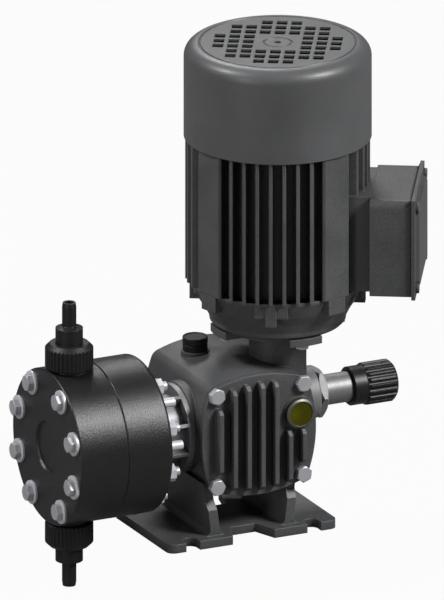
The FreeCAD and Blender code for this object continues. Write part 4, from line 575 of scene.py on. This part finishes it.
def soften_edges(piece, width):
    """A fine bevel on every sharp edge, and smooth shading on rounds made of fine facets."""
    modifier = piece.modifiers.new("soft_edges", "BEVEL")
    modifier.width = width
    modifier.segments = 2
    modifier.limit_method = "ANGLE"
    modifier.angle_limit = SHARP
    apply_modifier(piece, modifier)
    bpy.ops.object.shade_smooth_by_angle(angle=FACET)


print("tools for shaping")

# %% [markdown]
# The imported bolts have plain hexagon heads. A real head is chamfered: the turned cone that cuts its
# corners leaves six curved edges, and they catch the light. Bevelled corners would be straight, so
# the head is cut as on a lathe. A bolt is modelled once, standing on its seat: a six-sided
# cylinder, cut by a cone with a Boolean, then a round shank joined to its underside, and a fine
# bevel that takes the last sharpness. Both kinds of bolt are of one size and differ in length.

# %% A chamfered bolt
ACROSS_FLATS = 0.010
HEAD_HEIGHT = 0.004
CROWN_R = ACROSS_FLATS * 0.47
CROWN_ANGLE = math.radians(30)
SHANK_R = 0.003
HEAD_BOLT_LENGTH = 0.0777
COVER_SCREW_LENGTH = 0.017
BOLT_EDGE = 0.0002


def hexagon_bolt(length):
    """A bolt that stands on its seat at the origin, head up and shank down."""
    middle = (0, 0, HEAD_HEIGHT / 2)
    start_clean()
    bpy.ops.mesh.primitive_cylinder_add(vertices=6, radius=ACROSS_FLATS / math.sqrt(3),
                                        depth=HEAD_HEIGHT, location=middle)
    bolt = bpy.context.object
    start_clean()
    wide_r = CROWN_R + HEAD_HEIGHT / math.tan(CROWN_ANGLE)
    bpy.ops.mesh.primitive_cone_add(vertices=48, radius1=wide_r, radius2=CROWN_R,
                                    depth=HEAD_HEIGHT, location=middle)
    apply_boolean(bolt, bpy.context.object, "INTERSECT")
    start_clean()
    bpy.ops.mesh.primitive_cylinder_add(vertices=32, radius=SHANK_R,
                                        depth=length + HEAD_HEIGHT / 2,
                                        location=(0, 0, HEAD_HEIGHT / 4 - length / 2))
    apply_boolean(bolt, bpy.context.object, "UNION")
    settle(bolt)
    soften_edges(bolt, BOLT_EDGE)
    return bolt


head_bolt = hexagon_bolt(HEAD_BOLT_LENGTH)
cover_bolt = hexagon_bolt(COVER_SCREW_LENGTH)
print("head bolt of", len(head_bolt.data.polygons), "faces")

# %% [markdown]
# Each place gets its own copy with its own mesh, tilted the way its head faces. Linked copies would
# share one mesh and couldn't take their places into it. Then the copies are joined into one piece,
# which stands for the plain bolts of the frame.

# %% Copies of a bolt
def set_bolts(name, pattern, places, tilt, node):
    """Copies of one bolt at places (point, turn), tilted the way its head faces, as one piece."""
    copies = []
    for point, turn in places:
        pick(pattern)
        bpy.ops.object.duplicate()
        bolt = bpy.context.object
        bolt.matrix_world = Matrix.Translation(point) @ tilt @ Matrix.Rotation(turn, 4, "Z")
        settle(bolt)
        copies.append(bolt)
    start_clean()
    for bolt in copies:
        bolt.select_set(True)
    bpy.context.view_layer.objects.active = copies[0]
    bpy.ops.object.join()
    bolts = bpy.context.object
    bolts.name = name
    wear(bolts, dull_zinc)
    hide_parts(node)
    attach(bolts, "housing")
    bpy.data.objects.remove(pattern)
    return bolts


def span(piece, axis):
    """Where a piece begins and ends along X, Y or Z."""
    places = [vertex.co["XYZ".index(axis)] for vertex in piece.data.vertices]
    return round(min(places), 4), round(max(places), 4)


print("a pattern becomes a set")

# %% [markdown]
# The head bolts lie along X with their heads towards -X, on a ring of eight that leaves room for
# the valves above and below. Fitters never stop at the same angle, so each head is turned a little
# differently.

# %% Head bolts
BOLT_RING_R = 0.0441
HEAD_FACE_X = -0.1304
WASHER_THICK = 0.0016
WASHER_FACE_X = HEAD_FACE_X - WASHER_THICK
FIRST_BOLT = 30  # degrees from the top, on both sides
BOLT_STEP = 40
FITTER_STEP = 7  # degrees by which one head is turned more than another
FACING_HEAD = Matrix.Rotation(math.radians(-90), 4, "Y")

ring = []
for side in (1, -1):
    for k in range(4):
        angle = math.radians(FIRST_BOLT + BOLT_STEP * k)
        point = (WASHER_FACE_X, side * BOLT_RING_R * math.sin(angle),
                 AXIS_Z + BOLT_RING_R * math.cos(angle))
        ring.append((point, math.radians(FITTER_STEP * ((5 * k + 2 * side) % 4))))
head_set = set_bolts("chamfered_head_bolts", head_bolt, ring, FACING_HEAD, "head_bolts")
print("head bolts from", *span(head_set, "X"))

# %% [markdown]
# The four cover screws stand at the corners of the gear cover, and their heads point at -Y. They
# are turned a little differently too.

# %% Cover screws
COVER_FACE_Y = -0.038
COVER_HALF = 0.0316
SCREW_STEP = 9
FACING_COVER = Matrix.Rotation(math.radians(90), 4, "X")

corners = []
for sx in (1, -1):
    for sz in (1, -1):
        point = (DRIVE_X + sx * COVER_HALF, COVER_FACE_Y, AXIS_Z + sz * COVER_HALF)
        corners.append((point, math.radians(SCREW_STEP * (sx + 2 * sz))))
cover_set = set_bolts("chamfered_cover_screws", cover_bolt, corners, FACING_COVER, "cover_screws")
print("cover screws from", *span(cover_set, "Y"))

# %% [markdown]
# The filler cap is a black moulding in two steps: a collar that sits on the casing, a narrow waist,
# and a disc with a raised rim to grip. It could be spun from an outline, but it grows more simply
# from its stem, as on a lathe: the top face is extruded and resized step by step.

# %% Steps of the filler cap
CAP_HEIGHT = 0.0095
CAP_STEM_R = 0.0059
CAP_STEPS = [  # how far each step rises, and the radius that it ends with
    (0.00001, 0.0083), (0.0040, 0.0083), (0.0004, 0.0076),
    (0.0004, 0.0084), (0.0042, 0.0084), (0.0004, 0.0080),
]
cap_low, cap_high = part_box("oil_filler_plug")
cap_x, cap_y = (cap_low.x + cap_high.x) / 2, (cap_low.y + cap_high.y) / 2
cap_seat = cap_high.z - CAP_HEIGHT


def facing_up(piece, height):
    """Selects only the face that lies flat at a height, in edit mode."""
    bpy.ops.mesh.select_mode(type="FACE")
    bpy.ops.mesh.select_all(action="DESELECT")
    shape = bmesh.from_edit_mesh(piece.data)
    for face in shape.faces:
        if face.normal.z > 0.99 and abs(face.calc_center_median().z - height) < 1e-5:
            face.select_set(True)
    bmesh.update_edit_mesh(piece.data)


def step_up(rise, grow):
    """Extrudes the selected face upwards by rise and resizes it about its own middle."""
    bpy.ops.mesh.extrude_region_move(TRANSFORM_OT_translate={"value": (0, 0, rise)})
    bpy.ops.transform.resize(value=(grow, grow, 1), center_override=(cap_x, cap_y, 0))


print("cap seat at", round(cap_seat, 4))

# %% [markdown]
# The stem is a plain cylinder below the seat. After the last step the disc's face is inset and
# pushed down, which leaves the rim standing.

# %% Filler cap
RIM_WIDE = 0.0011
RIM_DEEP = 0.0005
CAP_EDGE = 0.00018

start_clean()
bpy.ops.mesh.primitive_cylinder_add(vertices=72, radius=CAP_STEM_R, depth=cap_seat - cap_low.z,
                                    location=(cap_x, cap_y, (cap_seat + cap_low.z) / 2))
cap = bpy.context.object
cap.name = "filler_cap"
bpy.ops.object.mode_set(mode="EDIT")
facing_up(cap, (cap_seat - cap_low.z) / 2)
radius = CAP_STEM_R
for rise, next_radius in CAP_STEPS:
    step_up(rise, next_radius / radius)
    radius = next_radius
bpy.ops.mesh.inset(thickness=RIM_WIDE)
bpy.ops.mesh.extrude_region_move(TRANSFORM_OT_translate={"value": (0, 0, -RIM_DEEP)})
bpy.ops.mesh.select_all(action="SELECT")
bpy.ops.mesh.normals_make_consistent(inside=False)
bpy.ops.object.mode_set(mode="OBJECT")
settle(cap)
soften_edges(cap, CAP_EDGE)
wear(cap, black_fitting)
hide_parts("oil_filler_plug")
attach(cap, "housing")
print("cap from", *span(cap, "Z"))

# %% [markdown]
# The lock ring of the stroke adjuster is a large flat nut. Like the bolts it has its corners cut by
# a cone, here from both ends, and then the sleeve's bore goes through it. Cone and bore reach past
# the ring's faces, because a Boolean between faces that nearly coincide can leave stray ones.

# %% Lock ring
RING_BORE_R = 0.01025
RING_CROWN = 0.485  # the crown's radius for each metre across the flats
RING_CROWN_ANGLE = math.radians(35)
RING_EDGE = 0.0003
REACH = 0.002
ring_low, ring_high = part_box("adjuster_lock_ring")
ring_flats = ring_high.z - ring_low.z
ring_wide = ring_high.x - ring_low.x
ring_middle = ((ring_low.x + ring_high.x) / 2, ADJUST_Y, AXIS_Z)
crown_r = ring_flats * RING_CROWN
slope = 1 / math.tan(RING_CROWN_ANGLE)
ALONG_X = (0, math.radians(90), 0)

start_clean()
bpy.ops.mesh.primitive_cylinder_add(vertices=6, radius=ring_flats / math.sqrt(3), depth=ring_wide,
                                    location=ring_middle, rotation=ALONG_X)
lock_ring = bpy.context.object
lock_ring.name = "chamfered_lock_ring"
for side in (1, -1):
    start_clean()
    bpy.ops.mesh.primitive_cone_add(vertices=72, radius1=crown_r + (ring_wide + REACH) * slope,
                                    radius2=crown_r - REACH * slope, depth=ring_wide + 2 * REACH,
                                    location=ring_middle,
                                    rotation=(0, math.radians(90 * side), 0))
    apply_boolean(lock_ring, bpy.context.object, "INTERSECT")
start_clean()
bpy.ops.mesh.primitive_cylinder_add(vertices=72, radius=RING_BORE_R, depth=ring_wide * 2,
                                    location=ring_middle, rotation=ALONG_X)
apply_boolean(lock_ring, bpy.context.object, "DIFFERENCE")
settle(lock_ring)
soften_edges(lock_ring, RING_EDGE)
wear(lock_ring, dulled)
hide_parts("adjuster_lock_ring")
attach(lock_ring, "housing")
print("lock ring from", *span(lock_ring, "X"))

# %% [markdown]
# Two pieces inside the head meet the rod, and both start as copies of their solids. The return
# spring is pressed by the rod's collar towards the bush that it stands on; its copy keeps its full
# length and rides the housing.

# %% Return spring
def merged_copy(node, name):
    """A free copy of a CAD node, with the loose triangles of its solid joined up."""
    piece = bpy.data.objects.new(name, nodes[node].data.copy())
    bpy.context.scene.collection.objects.link(piece)
    shape = bmesh.new()
    shape.from_mesh(piece.data)
    bmesh.ops.remove_doubles(shape, verts=shape.verts, dist=1e-6)
    shape.to_mesh(piece.data)
    shape.free()
    return piece


spring = merged_copy("return_spring", "coil_spring")
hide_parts("return_spring")
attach(spring, "housing")
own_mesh(spring)

# %% [markdown]
# The diaphragm's middle is clamped to the core and moves with the rod, while its rim is held in the
# head. Only its fold would stretch, deep inside the head, so it is simply cut in two round the
# core, where the fold begins, and each half rides its own body.

# %% Diaphragm
FOLD_R = 0.019
CUT_DEPTH = 0.02
HALVES = [("diaphragm_middle", "INTERSECT", "rod"), ("diaphragm_rim", "DIFFERENCE", "housing")]
for name, operation, body in HALVES:
    disc = merged_copy("diaphragm", name)
    start_clean()
    bpy.ops.mesh.primitive_cylinder_add(vertices=96, radius=FOLD_R, depth=CUT_DEPTH,
                                        rotation=ALONG_X,
                                        location=(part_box("diaphragm")[0].x, 0, AXIS_Z))
    apply_boolean(disc, bpy.context.object, operation)
    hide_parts("diaphragm")
    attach(disc, body)
    print(name, len(disc.data.polygons), "faces")

# %% [markdown]
# The suction tail hangs lower than the foot, so the real pump stands on a plinth or bracket. A pale
# plinth under the foot and a pale floor make the studio. The camera sees them almost white, and
# they still take the pump's soft shadow. Reflections see a small share of that white, so the metal
# picks it up and the black plastic stays black.

# %% Studio white
FLOOR_GREY = (0.13, 0.13, 0.13)
SEEN_GLOW = 0.96
BOUNCED_GLOW = 0.05


def studio_white(name):
    """Matt grey to the lamps, and nearly a white glow to the camera."""
    finish = Finish(name, FLOOR_GREY, 0.9)
    finish.rough(0.85 + 0.1 * finish.noise(0.01, 3))
    glow = finish.add("ShaderNodeEmission", {"Color": (1, 1, 1)})
    ray = finish.add("ShaderNodeLightPath")
    seen, glossy, through = (Wire(finish, ray.outputs[kind]) for kind in
                             ("Is Camera Ray", "Is Glossy Ray", "Is Transmission Ray"))
    share = seen * SEEN_GLOW + (glossy + through) * BOUNCED_GLOW
    sockets = {0: share, 1: finish.shader.outputs[0], 2: glow.outputs[0]}
    mixed = finish.add("ShaderNodeMixShader", sockets).outputs[0]
    finish.feed(finish.tree.nodes["Material Output"], {"Surface": mixed})
    return finish.material


white = studio_white("studio_white")
print(white.name, len(white.node_tree.nodes), "nodes")

# %% [markdown]
# The floor lies just below the pump's lowest point, and the plinth reaches from it to just below
# the foot. Both belong to the stage, so they are never taken for a piece of the pump.

# %% Floor and plinth
FLOOR_SIZE = 8
FLOOR_GAP = 0.0006
FLOOR_Z = cad_box[0][2] - FLOOR_GAP
PLINTH_TOP = -0.0002
PLINTH_LONG, PLINTH_WIDE = 0.136, 0.1

start_clean()
bpy.ops.mesh.primitive_plane_add(size=FLOOR_SIZE, location=(0, 0, FLOOR_Z))
floor = bpy.context.object
floor.name = "studio_floor"
bpy.ops.mesh.primitive_cube_add(size=1, location=(0, 0, (FLOOR_Z + PLINTH_TOP) / 2))
plinth = bpy.context.object
plinth.name = "studio_plinth"
plinth.scale = (PLINTH_LONG, PLINTH_WIDE, PLINTH_TOP - FLOOR_Z)
settle(plinth)
for item in (floor, plinth):
    item.data.materials.append(white)
print("floor at", round(FLOOR_Z, 4))

# %% [markdown]
# The picture is a parallel view: the pump's edges stay parallel in it, where a perspective camera
# would make the far ones shorter. So the camera is orthographic, turned 25.6 degrees round and
# 19.2 degrees down, and its height takes in 395 mm. The right and back vectors hold those two
# angles, and the distance doesn't change a parallel view.

# %% Camera
VIEW_HEIGHT = 0.3951
CAMERA_AWAY = 2
right = Vector((0.9015, -0.4327, 0)).normalized()
back = Vector((-0.4086, -0.8512, 0.3294)).normalized()
up = back.cross(right).normalized()
aim = Vector((0.02506, 0.05766, 0.13293))
turn = Matrix((right, up, back)).transposed().to_4x4()

bpy.ops.object.camera_add()
camera = bpy.context.object
camera.name = "photo_camera"
camera.matrix_world = Matrix.Translation(aim + back * CAMERA_AWAY) @ turn
camera.data.type = "ORTHO"
camera.data.sensor_fit = "VERTICAL"
camera.data.ortho_scale = VIEW_HEIGHT
bpy.context.scene.camera = camera
print("camera at", [round(v, 3) for v in camera.matrix_world.translation])

# %% [markdown]
# The light is a soft studio of four area lamps, since spots would draw hard edges. The key lamp
# stands high in front and to the right, so the faces towards the head stay dark, as in the
# photograph. One lamp high on the left and one behind draw the tops, and a weak strip on the left
# draws the head's rim.

# %% Lamps
LAMP_AIM = Vector((0, 0, 0.15))
LAMPS = [  # name, place, size in metres, watts
    ("key_lamp", (1.0, -1.25, 1.45), (0.6, 0.6), 49),
    ("rim_lamp", (-1.5, -0.7, 0.5), (0.4, 0.9), 6),
    ("left_lamp", (-1.0, 0.35, 1.4), (0.35, 0.35), 18),
    ("back_lamp", (0.4, 1.3, 1.5), (0.5, 0.5), 12),
]
for name, place, size, watts in LAMPS:
    bpy.ops.object.light_add(type="AREA", location=place)
    lamp = bpy.context.object
    lamp.name = name
    lamp.data.shape = "RECTANGLE"
    lamp.data.size, lamp.data.size_y = size
    lamp.data.energy = watts
    lamp.rotation_euler = (Vector(place) - LAMP_AIM).to_track_quat("Z", "Y").to_euler()
print(len(LAMPS), "lamps")

# %% [markdown]
# The world fills the shadows with a faint bluish light, and to the camera it is plain white, like
# the paper behind a product picture. One background can't be both, so the camera's rays are sent
# to a second one.

# %% World
world = bpy.data.worlds.new("studio")
world.use_nodes = True
bpy.context.scene.world = world
tree = world.node_tree
fill = tree.nodes["Background"]
fill.inputs["Color"].default_value = (0.9, 0.93, 1, 1)
fill.inputs["Strength"].default_value = 0.06
shown = tree.nodes.new("ShaderNodeBackground")
shown.inputs["Color"].default_value = (1, 1, 1, 1)
ray = tree.nodes.new("ShaderNodeLightPath")
mix = tree.nodes.new("ShaderNodeMixShader")
tree.links.new(ray.outputs["Is Camera Ray"], mix.inputs[0])
tree.links.new(fill.outputs[0], mix.inputs[1])
tree.links.new(shown.outputs[0], mix.inputs[2])
tree.links.new(mix.outputs[0], tree.nodes["World Output"].inputs["Surface"])
bpy.context.scene.view_settings.view_transform = "Standard"
print("world of", len(tree.nodes), "nodes")
